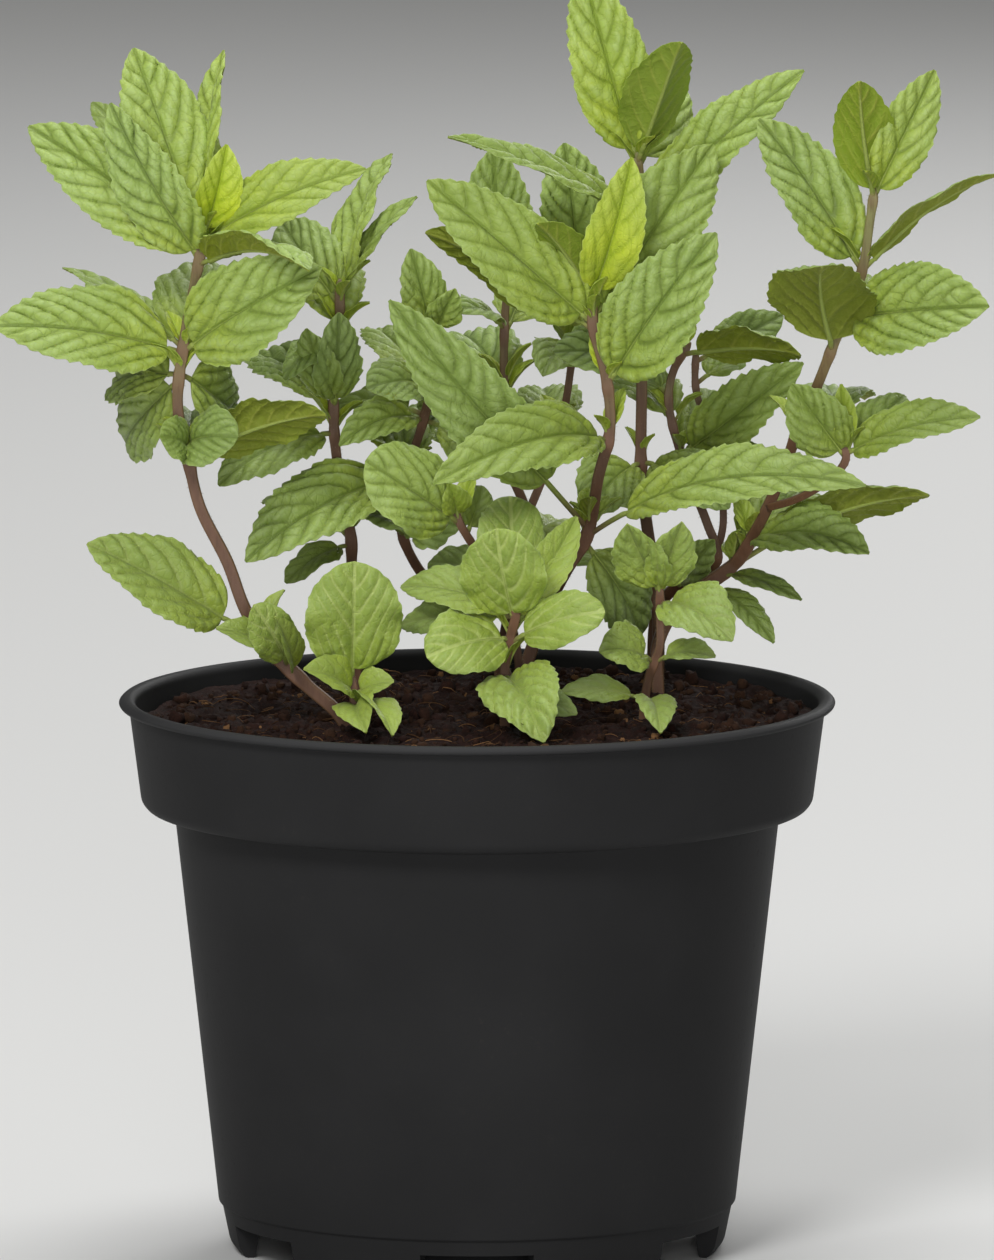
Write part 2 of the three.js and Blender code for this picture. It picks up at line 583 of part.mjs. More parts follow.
function addMesh(name, solid, colour, roughness) {
  const mesh = solid.getMesh();
  const geometry = new THREE.BufferGeometry();
  geometry.setAttribute("position", new THREE.BufferAttribute(mesh.vertProperties, 3));
  geometry.setIndex(new THREE.BufferAttribute(mesh.triVerts, 1));
  geometry.computeVertexNormals();
  const material = new THREE.MeshStandardMaterial({ color: colour, roughness, metalness: 0 });
  const placed = new THREE.Mesh(geometry, material);
  placed.name = name;
  plant.add(placed);
}

addMesh("pot", potSolid(), COLOURS.pot, 0.45);
addMesh("soil", soilSolid(Object.values(SHOOTS).map((stems) => stems[0])), COLOURS.soil, 0.95);
for (const [name, stems] of Object.entries(SHOOTS)) {
  addMesh(name, shootSolid(stems), COLOURS.shoot, 0.55);
}

export default plant;
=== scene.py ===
from math import asin, atan2, cos, pi, radians, sin

import bpy
import numpy as np
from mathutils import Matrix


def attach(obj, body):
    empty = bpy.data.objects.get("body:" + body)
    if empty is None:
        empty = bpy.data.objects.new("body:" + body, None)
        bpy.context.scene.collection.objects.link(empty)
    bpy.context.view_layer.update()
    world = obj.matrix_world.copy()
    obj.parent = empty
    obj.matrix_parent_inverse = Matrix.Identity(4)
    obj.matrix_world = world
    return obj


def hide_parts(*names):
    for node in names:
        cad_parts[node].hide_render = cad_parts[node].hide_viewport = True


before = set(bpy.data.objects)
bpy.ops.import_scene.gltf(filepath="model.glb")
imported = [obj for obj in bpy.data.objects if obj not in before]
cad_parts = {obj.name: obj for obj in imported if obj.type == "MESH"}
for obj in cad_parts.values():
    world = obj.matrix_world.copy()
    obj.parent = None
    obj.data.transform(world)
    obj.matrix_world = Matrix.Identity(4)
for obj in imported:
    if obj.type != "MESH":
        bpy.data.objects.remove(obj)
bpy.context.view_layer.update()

bl_info = {
    "name": "Potted mint plant",
    "version": (1, 0, 0),
    "blender": (4, 5, 0),
    "location": "3D View > Sidebar > Mint",
    "description": "Builds a young mint plant in a nursery pot, with its soil, and a studio stage",
    "category": "Add Mesh",
}

MM = 0.001  # sizes below are in millimetres, meshes are in metres
BODY = "root"

# ---------------------------------------------------------------- sizes of the pot and the soil

# The pot's section in millimetres, as outer radii, heights and thicknesses. The channel is the ring-shaped
# hollow of the underside, between the foot ring and the flat disc in the middle.
POT = {
    "lip": 1.7,
    "wall": 1.2,
    "collar_top": 63.1,
    "collar_bottom": 60.9,
    "collar_floor": 82.4,
    "step": 80.4,
    "shoulder": 54.9,
    "waist": 47,
    "groove": 8.6,
    "foot": 45,
    "ring": 42,
    "disc": 26,
    "channel": 6.5,
}
NOTCH = {"count": 6, "width": 19.7, "height": 6}  # gaps in the foot ring
NOTCH_EDGE = 0.0006  # half the angle over which the side of such a gap rises
DRAIN = {"count": 6, "radius": 4, "ring": 34, "sides": 32}  # holes in the channel
FOOT_SLOPE, FOOT_RISE = 1.4, 1.8  # how far the foot slopes in and out, and the height where it turns
GAP = 0.3  # between the soil and the pot
SOIL_SEED = 41
SOIL_SIDES = 400  # points on each ring of the bed
LUMP = (5, 7)  # rings of a crumb and points on each
THREAD = (7, 3)  # rings of a fibre and points on each

# ---------------------------------------------------------------- the plant, as it grew

# Kinds of leaf: length of the stalk, fold along the rib, fullness of the outline at the base and the point,
# depth of the teeth, height of the quilting between the side veins, height of the waves at the rim as a share
# of half the width, how young it is, how much darker it is painted, partly from ageing and partly as painted
# shade for leaves deep in the plant, and how pale its veins are.
KIND_VALUES = ("stalk", "fold", "base", "point", "tooth", "quilt", "wave", "young", "dark", "milky")
KIND_ROWS = {
    "mature": (2, 0.2, 0.5, 0.76, 0.5, 1.35, 0.08, 0.2, 0.05, 0),
    "bright": (2, 0.22, 0.5, 0.76, 0.45, 1.2, 0.07, 0.45, 0.12, 0),
    "young": (0.8, 0.42, 0.5, 0.76, 0.3, 0.7, 0.06, 1, 0, 0),
    "shade": (2, 0.06, 0.5, 0.7, 0.5, 1.1, 0.1, 0.1, 0.45, 0),
    "round": (3, 0.04, 0.48, 0.52, 0.25, 0.9, 0.1, 0.7, 0, 1),
}
KINDS = {name: dict(zip(KIND_VALUES, row)) for name, row in KIND_ROWS.items()}

SHOOT_SEED = 100  # of the first shoot, and one more for each after it
STEM_STEP = 0.8  # between the rings of a stem
STEM_SIDES = 24
STEM_SQUARENESS = 4.5  # power of a stem's oval: 2 is round, more is squarer
SOIL_TOP = 98.5  # no hairs grow below it
HAIR_RADIUS = 0.026
TOOTH = 2.1  # length of a tooth along the rim of a blade
COLUMN = 1.2  # between the points across a blade
SAW = np.array([0.0, 0.35, 0.7, 1.0, 0.45])  # how far out one tooth reaches, step by step
FULL_WIDTH = 15  # blades from this width on have the full relief
STALK_SIDES = 8
BLADE_VALUES = (
    "lower", "young", "dark", "tint", "stalk", "vein", "rib", "rim", "pitch", "rung", "mesh", "swell", "far",
    "milky", "u", "v",
)


def leaf(at, tip, width, face, arch, kind, stalk=None):
    """A leaf: the height where it leaves its stem, its tip, its width, the way its upper face looks,
    how far it arches as a share of its length, its kind, and its stalk where that is unusual."""
    stalk = KINDS[kind]["stalk"] if stalk is None else stalk
    return dict(at=at, tip=tip, width=width, face=face, arch=arch, kind=kind, stalk=stalk)


def stem(points, foot, top, leaves):
    """A stem: the points that it passes through, its half width at the foot and at the top, its leaves."""
    return dict(points=points, foot=foot, top=top, leaves=leaves)


SHOOTS = {
    "shoot_left_tall": [
        stem(
            [[-22, -12, 86], [-24, -12, 98], [-31, -12, 105], [-38, -12, 112], [-42, -12, 119],
             [-45, -11, 127], [-50, -10, 137], [-52, -9, 145], [-54, -8, 155], [-53, -8, 166],
             [-51, -8, 177], [-49, -8, 187]],
            1.4, 1.0,
            [
                leaf(184, [-62, 3, 219], 18, [0.25, -1, 0.25], 0.06, "mature", 2),
                leaf(183, [-81, 0, 205], 16, [-0.3, -0.8, 0.55], 0.06, "mature", 2),
                leaf(182, [-66, -17, 211], 14, [-0.45, -0.85, 0.25], 0.08, "mature", 1),
                leaf(185, [-20, -14, 199], 13, [-0.1, -0.75, 0.65], 0.1, "bright", 2),
                leaf(186, [-46, 8, 218], 13, [-0.8, -0.55, 0.2], 0.04, "bright", 1),
                leaf(186, [-45, -12, 203], 9, [0.2, -1, 0.1], 0.05, "young"),
                leaf(181, [-30, -33, 183], 15, [0.1, 0.3, 1], 0.1, "mature", 2),
                leaf(183, [-70, 16, 208], 9, [0, -0.8, 0.6], 0.15, "shade"),
                leaf(165, [-87, -16, 171], 18, [-0.1, -0.75, 0.65], 0.07, "mature"),
                leaf(166, [-75, 14, 178], 11, [0.34, -0.15, 0.9], 0.04, "shade"),
                leaf(165, [-28, -22, 182], 18, [0.2, -0.85, 0.5], 0.08, "mature"),
                leaf(165, [-49, 20, 178], 15, [0, -0.7, 0.7], 0.1, "shade"),
                leaf(161, [-67, 10, 156], 13, [-0.3, -0.8, 0.6], 0.1, "shade"),
                leaf(160, [-64, 12, 146], 16, [-0.2, -0.9, 0.3], 0.1, "shade"),
                leaf(161, [-44, 12, 151], 15, [0.2, -0.9, 0.3], 0.1, "shade"),
                leaf(146, [-27, -16, 155], 13, [0, 0.8, 0.6], 0.06, "shade"),
                leaf(147, [-57, -19, 151], 9, [0, -0.9, 0.4], 0.15, "round", 1),
                leaf(148, [-43, -20, 151], 12, [0.1, -0.9, 0.4], 0.15, "round", 1),
                leaf(145, [-52, 26, 149], 14, [0, -0.1, 1], 0.12, "shade"),
                leaf(113, [-70, -22, 132], 16, [-0.2, -0.8, 0.55], 0.02, "bright", 8),
                leaf(111, [-47, -18, 116], 6, [0, -0.8, 0.6], 0.15, "young"),
                leaf(108, [-40, -24, 121], 9, [-0.2, -0.8, 0.6], 0.1, "round"),
                leaf(107, [-36, -25, 119], 6, [0.6, -0.8, 0.2], 0.05, "young"),
            ],
        ),
    ],
    "shoot_left_back": [
        stem(
            [[-22, 24, 86], [-22, 24, 98], [-23, 23, 116], [-23, 22, 127], [-25, 20, 138], [-26, 19, 147],
             [-26, 19, 156], [-25, 19, 166], [-25, 19, 175]],
            1.3, 0.9,
            [
                leaf(151, [-25, 8, 170], 10, [0.2, -1, 0.3], 0.08, "shade"),
                leaf(152, [-31, 8, 167], 9, [-0.3, -0.9, 0.3], 0.08, "shade"),
                leaf(171, [-16, 30, 197], 14, [-0.8, -0.6, 0.15], 0.05, "mature"),
                leaf(170, [-36, 32, 184], 14, [-0.2, -0.9, 0.3], 0.06, "shade"),
                leaf(165, [-30, 50, 174], 14, [0, -0.1, 1], 0.12, "mature"),
                leaf(173, [-11, 20, 190], 9, [-0.8, -0.4, 0.5], 0.05, "mature"),
                leaf(163, [-35, 8, 158], 7, [-0.2, -0.8, 0.6], 0.2, "shade"),
                leaf(147, [-47, 6, 139], 12, [-0.1, -0.7, 0.7], 0.12, "shade"),
                leaf(151, [-42, 40, 158], 14, [-0.2, -0.1, 1], 0.12, "mature"),
                leaf(127, [-38, 44, 131], 14, [-0.1, -0.1, 1], 0.12, "shade"),
                leaf(126, [-35, 14, 120], 8, [-0.2, -0.8, 0.6], 0.15, "shade"),
            ],
        ),
    ],
    "shoot_middle_left": [
        stem(
            [[6, 32, 86], [6, 32, 98], [3, 32, 105], [-4, 31, 113], [-11, 28, 121], [-14, 26, 129],
             [-13, 24, 138], [-10, 22, 148], [-8, 20, 157], [-8, 17, 167]],
            1.2, 0.8,
            [
                leaf(165, [-12, 14, 181], 9, [0.1, -1, 0.2], 0.05, "mature"),
                leaf(165, [-4, 10, 174], 7, [0.2, -1, 0.2], 0.05, "mature"),
                leaf(155, [-20, 10, 156], 12, [0, -0.7, 0.75], 0.12, "shade"),
                leaf(149, [-25, 8, 146], 9, [0, -0.7, 0.7], 0.15, "mature"),
                leaf(149, [3, 22, 141], 11, [0, -0.8, 0.6], 0.15, "shade"),
                leaf(138, [-42, 2, 125.5], 16, [-0.25, -0.85, 0.45], 0.12, "mature", 5),
                leaf(150, [-27, 27, 150], 12, [0, -0.4, 0.9], 0.12, "shade"),
                leaf(152, [-20, 48, 162], 13, [0, -0.1, 1], 0.12, "mature"),
                leaf(127, [-22, 12, 133], 11, [0, -0.7, 0.7], 0.1, "shade"),
                leaf(127, [0, 15, 133], 12, [0, -0.8, 0.6], 0.08, "shade"),
                leaf(138, [-16, 54, 146], 13, [0, -0.1, 1], 0.12, "mature"),
            ],
        ),
    ],
    "shoot_middle_round": [
        stem(
            [[8, 1, 86], [8, 1, 98], [7, 0, 111], [4, -2, 121], [0, -3, 128], [-3, -4, 133], [-4, -4, 136]],
            1.0, 0.7,
            [
                leaf(133, [-20, -14, 146], 17, [-0.1, -0.85, 0.5], 0.08, "round", 2),
                leaf(134, [-5, -8, 141], 6, [0.1, -1, 0.3], 0.05, "young"),
                leaf(131, [1, 4, 139], 8, [0.2, -0.9, 0.3], 0.05, "shade", 1),
                leaf(123, [-9, 5, 125], 9, [0, -0.8, 0.6], 0.1, "shade", 1),
            ],
        ),
    ],
    "shoot_back": [
        stem(
            [[4, 45, 86], [4, 45, 98], [6, 45, 112], [9, 44, 128], [6, 44, 137], [5, 44, 149], [5, 44, 164],
             [6, 44, 175]],
            1.2, 0.8,
            [
                leaf(173, [3, 46, 196], 13, [-0.1, -0.95, 0.3], 0.05, "mature"),
                leaf(163, [-4, 30, 168], 9, [-0.3, -0.8, 0.6], 0.1, "shade"),
                leaf(162, [10, 58, 168], 10, [0.1, -0.6, 0.8], 0.1, "shade"),
                leaf(152, [-11, 38, 149], 12, [-0.1, -0.8, 0.6], 0.1, "shade"),
                leaf(150, [-4, 72, 158], 14, [0, -0.1, 1], 0.12, "mature"),
                leaf(137, [-14, 62, 146], 14, [-0.2, -0.2, 1], 0.12, "shade"),
                leaf(112, [-6, 66, 115], 14, [0, -0.1, 1], 0.1, "shade"),
                leaf(118, [16, 68, 124], 13, [0.1, -0.1, 1], 0.12, "round"),
            ],
        ),
        stem(
            [[9, 44, 128], [12, 46, 135], [15, 48, 143], [17, 48, 154], [18, 47, 166], [19, 46, 175]],
            0.9, 0.7,
            [
                leaf(172, [16, 44, 197], 15, [0.1, -1, 0.2], 0.05, "mature"),
                leaf(158, [12, 30, 156], 10, [0, -0.7, 0.7], 0.15, "shade"),
                leaf(157, [30, 66, 166], 14, [0.2, -0.1, 1], 0.12, "mature"),
                leaf(142, [12, 68, 149], 13, [0, -0.1, 1], 0.12, "shade"),
            ],
        ),
    ],
    "shoot_middle_tall": [
        stem(
            [[6, 14, 86], [7, 14, 98], [10, 14, 108], [13, 14, 116], [16, 13, 122], [20, 12, 129],
             [22, 9, 140], [24, 8, 148], [24, 8, 154], [23, 8, 160], [21, 8, 168], [21, 8, 175]],
            1.45, 1.0,
            [
                leaf(129, [70, -16, 142], 13, [0.1, -0.75, 0.65], 0.13, "mature", 10),
                leaf(130, [-16, -4, 174], 15, [-0.35, -0.8, 0.5], 0.15, "mature", 14),
                leaf(147, [-8, -20, 143], 14, [0, -0.8, 0.6], 0.14, "bright", 2),
                leaf(168, [-9, 2, 195], 17, [-0.3, -0.8, 0.5], 0.06, "bright", 2),
                leaf(167, [-9, 20, 184], 15, [0.2, 0.7, 0.7], 0.04, "shade"),
                leaf(169, [43, 16, 200], 18, [0.3, -0.9, 0.3], 0.05, "mature"),
                leaf(157, [43, -4, 186], 17, [0.2, -0.85, 0.5], 0.06, "mature"),
                leaf(173, [28, 2, 199], 11, [0.1, -1, 0.1], 0.05, "young"),
                leaf(173, [11, -5, 188], 9, [0.3, 0.9, 0.2], 0.08, "young"),
                leaf(128, [30, 20, 109], 13, [0.3, -0.9, 0.3], 0.1, "shade"),
            ],
        ),
    ],
    "shoot_centre_tallest": [
        stem(
            [[33, 34, 86], [33, 34, 98], [33, 33, 114], [31, 32, 128], [30, 32, 136], [30, 31, 154],
             [30, 30, 169], [30, 29, 184], [29, 28, 197]],
            1.4, 1.0,
            [
                leaf(195, [19, 30, 231], 15, [-0.1, -1, 0.1], 0.04, "bright", 2),
                leaf(195, [37, 16, 219], 13, [-0.1, 0.9, 0.3], 0.04, "young", 2),
                leaf(186, [59, 22, 213], 13, [-0.2, -0.8, 0.55], 0.03, "mature"),
                leaf(194, [37, 44, 208], 12, [0.2, -0.9, 0.4], 0.08, "mature"),
                leaf(185, [-5, 14, 202], 11, [0, -0.35, 0.95], 0.03, "mature"),
                leaf(170, [34, 61, 180], 14, [0.1, -0.1, 1], 0.12, "mature"),
                leaf(158, [14, 17, 162], 12, [0, -0.8, 0.6], 0.1, "shade"),
                leaf(140, [20, 20, 132], 14, [-0.1, -0.8, 0.6], 0.12, "shade"),
                leaf(140, [46, 20, 133], 13, [0.1, -0.8, 0.6], 0.12, "shade"),
                leaf(114, [14, 54, 119], 13, [0, -0.1, 1], 0.12, "shade"),
            ],
        ),
    ],
    "shoot_right_tall": [
        stem(
            [[33, 26, 86], [33, 26, 98], [33, 26, 107], [36, 26, 113], [42, 26, 118], [47, 25, 122],
             [51, 22, 129], [55, 19, 138], [58, 15, 147], [62, 12, 157], [65, 10, 165], [68, 9, 172],
             [70, 8, 179], [71, 8, 186], [72, 8, 193]],
            1.4, 0.9,
            [
                leaf(191, [69, 2, 213], 12, [0, 1, 0.2], 0.04, "young"),
                leaf(191, [83, 12, 214], 11, [0.1, -1, 0.2], 0.05, "bright", 1),
                leaf(178, [51, 12, 205], 15, [0.1, -0.9, 0.3], 0.02, "mature"),
                leaf(178, [94, -2, 197], 9, [-0.4, 0.5, 0.75], 0.06, "shade"),
                leaf(163, [62, -14, 182], 20, [0, 0.85, 0.5], 0.06, "shade"),
                leaf(169, [92, -14, 174], 18, [0.3, -0.9, 0.35], 0.03, "mature"),
                leaf(163, [74, 40, 172], 14, [0.1, -0.1, 1], 0.12, "mature"),
                leaf(147, [71, 44, 150], 14, [0, -0.1, 1], 0.12, "shade"),
                leaf(124, [62, 48, 132], 14, [0.2, -0.1, 1], 0.12, "shade"),
                leaf(121, [82, 8, 137], 13, [0, 0.6, 0.8], 0.08, "shade", 10),
                leaf(126, [71, 4, 127], 13, [0.1, -0.7, 0.7], 0.12, "mature"),
                leaf(120, [59, 14, 117], 5, [0, -0.6, 0.8], 0.1, "shade"),
                leaf(118, [54, 14, 109], 6, [0.3, -0.8, 0.5], 0.1, "shade"),
            ],
        ),
        stem(
            [[53, 20, 133], [58, 16, 135], [64, 13, 139], [67, 12, 143], [66, 12, 147]],
            0.8, 0.7,
            [
                leaf(143, [57, 8, 157], 12, [-0.3, -0.9, 0.3], 0.05, "mature", 1),
                leaf(145, [66, 8, 157], 5, [0, -1, 0.1], 0.05, "young"),
                leaf(145, [78, 24, 153], 9, [0, -0.8, 0.6], 0.08, "mature", 1),
                leaf(144, [91, 2, 152], 11, [0, -0.8, 0.6], 0.08, "bright", 1),
            ],
        ),
    ],
    "shoot_right_back": [
        stem(
            [[32, 44, 86], [32, 44, 98], [33, 43, 111], [38, 39, 117], [44, 36, 121], [42, 36, 128],
             [38, 38, 138], [35, 39, 150], [36, 39, 156], [39, 38, 161]],
            1.1, 0.8,
            [
                leaf(159, [59, 22, 161], 12, [0, 0.8, 0.6], 0.06, "shade"),
                leaf(140, [50, 62, 147], 14, [0.2, -0.1, 1], 0.12, "shade"),
                leaf(115, [43, 26, 126], 8, [0, -1, 0.3], 0.05, "shade"),
                leaf(140, [59, 24, 159], 12, [0.2, -0.85, 0.5], 0.06, "mature"),
                leaf(139, [53, 30, 142], 9, [0, 0.6, 0.8], 0.08, "shade"),
                leaf(151, [30, 46, 154], 7, [0, -0.7, 0.7], 0.08, "shade"),
                leaf(146, [25, 61, 151], 13, [0, -0.1, 1], 0.12, "shade"),
            ],
        ),
        stem(
            [[43, 37, 120], [45, 37, 128], [43, 40, 142], [40, 42, 152], [40, 42, 159]],
            0.8, 0.7,
            [
                leaf(157, [56, 46, 165], 9, [0.2, -0.8, 0.5], 0.06, "shade"),
                leaf(153, [49, 50, 157], 8, [0, -0.5, 0.9], 0.08, "shade"),
            ],
        ),
    ],
    "shoot_front_right": [
        stem(
            [[30, -10, 86], [30, -10, 98], [31, -11, 106], [33, -12, 112], [33, -12, 117], [33, -13, 123]],
            1.0, 0.8,
            [
                leaf(121, [27, -20, 135], 11, [-0.4, -0.8, 0.5], -0.05, "bright", 1),
                leaf(121, [37, -18, 135], 10, [0.4, -0.8, 0.5], -0.05, "bright", 1),
                leaf(120, [46, -26, 115], 13, [0.2, -0.8, 0.6], 0.15, "bright", 2),
                leaf(109, [22, -18, 112], 11, [-0.1, -0.8, 0.6], 0.15, "bright", 2),
                leaf(109, [43, -18, 111], 7, [0.2, -0.7, 0.7], 0.15, "bright", 2),
                leaf(102, [33, -33, 99.5], 8, [0.1, -0.4, 0.9], 0.1, "bright", 4),
                leaf(102, [15, -14, 104], 6, [0, -0.6, 0.8], 0.1, "shade"),
            ],
        ),
    ],
    "shoot_front_middle": [
        stem(
            [[5, -14, 86], [5, -14, 98], [5, -15, 108], [6, -16, 114], [7, -17, 119], [6, -17, 122]],
            1.2, 0.8,
            [
                leaf(117, [3.5, -25, 135], 16, [-0.1, -0.9, 0.4], 0.06, "round", 1),
                leaf(114, [-9, -26, 112], 14, [0, -0.8, 0.6], 0.1, "round", 1),
                leaf(113, [23, -24, 120], 11, [0.1, -0.8, 0.6], 0.12, "round", 3),
                leaf(119, [-14, -12, 123], 10, [-0.1, -0.8, 0.6], 0.1, "bright"),
                leaf(118, [-14, -6, 115], 9, [-0.1, -0.8, 0.6], 0.1, "shade"),
                leaf(107, [12, -40, 98.8], 15, [-0.1, -0.6, 0.8], 0.12, "bright", 2),
                leaf(118, [18, -8, 135], 8, [0.1, -1, 0.2], 0.05, "young"),
                leaf(117, [15, -12, 128], 6, [0.1, -1, 0.2], 0.05, "young"),
                leaf(120, [6, -2, 138], 13, [0, -0.9, 0.4], 0.05, "round"),
                leaf(103, [18, -22, 101], 7, [0.1, -0.7, 0.7], 0.1, "shade"),
            ],
        ),
    ],
    "shoot_front_left": [
        stem(
            [[-20, -18, 86], [-21, -18, 98], [-22, -18, 103], [-23, -18, 108]],
            1.2, 0.9,
            [
                leaf(106, [-22, -25, 129], 18, [0, -1, 0.3], 0.06, "round", 2),
                leaf(104, [-31, -27, 110], 8, [-0.2, -0.8, 0.6], 0.12, "young"),
                leaf(102, [-20, -34, 99.5], 8, [-0.2, -0.6, 0.7], 0.12, "young"),
                leaf(102, [-15, -36, 99.5], 8, [0.4, -0.6, 0.7], 0.12, "young"),
                leaf(104, [-15, -22, 107], 6, [0.2, -0.8, 0.6], 0.12, "young"),
            ],
        ),
    ],
}

# ---------------------------------------------------------------- settings


class MintPotSettings(bpy.types.PropertyGroup):
    """Sizes and finish of the pot."""

    height: bpy.props.FloatProperty(
        name="Height", description="Height of the pot", default=101 * MM, min=0.08, max=0.14, unit="LENGTH"
    )
    rim: bpy.props.FloatProperty(
        name="Rim", description="Outer radius of the lip",
        default=65 * MM, min=0.064, max=0.07, unit="LENGTH",
    )
    colour: bpy.props.FloatVectorProperty(
        name="Colour", description="Colour of the plastic",
        default=(0.0198, 0.0198, 0.0203), subtype="COLOR", size=3,
    )
    sides: bpy.props.IntProperty(
        name="Sides", description="Steps round the pot", default=180, min=48, max=360
    )


class MintSoilSettings(bpy.types.PropertyGroup):
    """Sizes and colours of the soil."""

    level: bpy.props.FloatProperty(
        name="Level", description="Height of the soil", default=97.5 * MM, min=0.09, max=0.1, unit="LENGTH"
    )
    radius: bpy.props.FloatProperty(
        name="Radius", description="Radius of the soil at its top",
        default=60.8 * MM, max=0.061, unit="LENGTH",
    )
    colour: bpy.props.FloatVectorProperty(
        name="Peat", description="Colour of the peat", default=(0.026, 0.01, 0.007), subtype="COLOR", size=3
    )
    light: bpy.props.FloatVectorProperty(
        name="Fibre", description="Colour of the light fibres",
        default=(0.33, 0.17, 0.07), subtype="COLOR", size=3,
    )
    crumbs: bpy.props.IntProperty(
        name="Crumbs", description="Number of crumbs", default=1500, min=0, max=4000
    )
    fibres: bpy.props.IntProperty(
        name="Fibres", description="Number of fibres", default=420, min=0, max=2000
    )


class MintLeafSettings(bpy.types.PropertyGroup):
    """Form and colours of the leaves."""

    thickness: bpy.props.FloatProperty(
        name="Thickness", description="Thickness of a blade at its rib",
        default=0.38 * MM, min=0.0001, unit="LENGTH",
    )
    quilting: bpy.props.FloatProperty(
        name="Quilting", description="Height of the swellings between the veins",
        default=1, min=0, max=3, subtype="FACTOR",
    )
    mature: bpy.props.FloatVectorProperty(
        name="Mature", description="Upper face of a mature leaf",
        default=(0.325, 0.45, 0.128), subtype="COLOR", size=3,
    )
    young: bpy.props.FloatVectorProperty(
        name="Young", description="Upper face of a young leaf",
        default=(0.6, 0.7, 0.03), subtype="COLOR", size=3,
    )
    lower: bpy.props.FloatVectorProperty(
        name="Lower", description="Lower face of a leaf",
        default=(0.21, 0.25, 0.012), subtype="COLOR", size=3,
    )


class MintStemSettings(bpy.types.PropertyGroup):
    """Colours and hairs of the stems."""

    low: bpy.props.FloatVectorProperty(
        name="Low", description="Colour of old stems",
        default=(0.128, 0.055, 0.025), subtype="COLOR", size=3,
    )
    high: bpy.props.FloatVectorProperty(
        name="High", description="Colour of young stems",
        default=(0.24, 0.24, 0.075), subtype="COLOR", size=3,
    )
    hair: bpy.props.FloatProperty(
        name="Hair", description="Length of the fine hairs",
        default=0.6 * MM, min=0, max=0.003, unit="LENGTH",
    )


class MintStageSettings(bpy.types.PropertyGroup):
    """The camera, the floor and the lights."""

    distance: bpy.props.FloatProperty(
        name="Distance", description="From the camera to the plant",
        default=3.5, min=1, max=8, unit="LENGTH",
    )
    elevation: bpy.props.FloatProperty(
        name="Elevation", description="Height of the camera as an angle",
        default=radians(7.9), unit="ROTATION",
    )
    lens: bpy.props.FloatProperty(
        name="Lens", description="Focal length in millimetres", default=552, min=50, max=900
    )
    floor: bpy.props.FloatVectorProperty(
        name="Floor", description="Colour of the floor", default=(0.72, 0.72, 0.71), subtype="COLOR", size=3
    )
    light: bpy.props.FloatProperty(
        name="Light", description="Strength of the lights", default=1, min=0, max=10
    )


# ---------------------------------------------------------------- meshes


def unit(rows):
    """Each row of numbers divided by its length."""
    rows = np.asarray(rows, float)
    return rows / np.maximum(np.linalg.norm(rows, axis=-1, keepdims=True), 1e-12)


def smooth(low, high, values):
    """A soft step: 0 under the low limit, 1 over the high one, 3x^2 - 2x^3 between them."""
    x = np.clip((values - low) / (high - low), 0, 1)
    return x * x * (3 - 2 * x)


def around(count, shift=0):
    """Evenly spaced angles round a circle. The first is at the shift, as a share of a step."""
    return 2 * pi * (np.arange(count) + shift) / count


def grid_faces(rows, columns, wrap=False):
    """Four-sided faces between neighbouring points of a grid that is stored row after row."""
    i, j = np.meshgrid(np.arange(rows - 1), np.arange(columns if wrap else columns - 1), indexing="ij")
    a = i * columns + j
    b = i * columns + (j + 1) % columns
    return np.stack([a, b, b + columns, a + columns], axis=-1).reshape(-1, 4)


def ring_faces(count, sides):
    """Faces between rings of points that follow each other, and one face on each end."""
    order = np.arange(sides)
    return [grid_faces(count, sides, wrap=True), np.stack([order[::-1], order + (count - 1) * sides])]


def sheet_faces(rows, columns):
    """Faces of a thin sheet: the upper grid, the lower one turned over, and the edge between them."""
    total = rows * columns
    order = np.arange(total).reshape(rows, columns)
    edge = np.concatenate([order[0], order[1:, -1], order[-1, -2::-1], order[-2:0:-1, 0]])
    after = np.roll(edge, -1)
    top = grid_faces(rows, columns)
    return [top, top[:, ::-1] + total, np.stack([after, edge, edge + total, after + total], axis=-1)]


def copied_faces(faces, size, count):
    """The faces of a shape of so many points, for one copy after the other."""
    start = size * np.arange(count)[:, None, None]
    return [(part + start).reshape(-1, part.shape[1]) for part in faces]


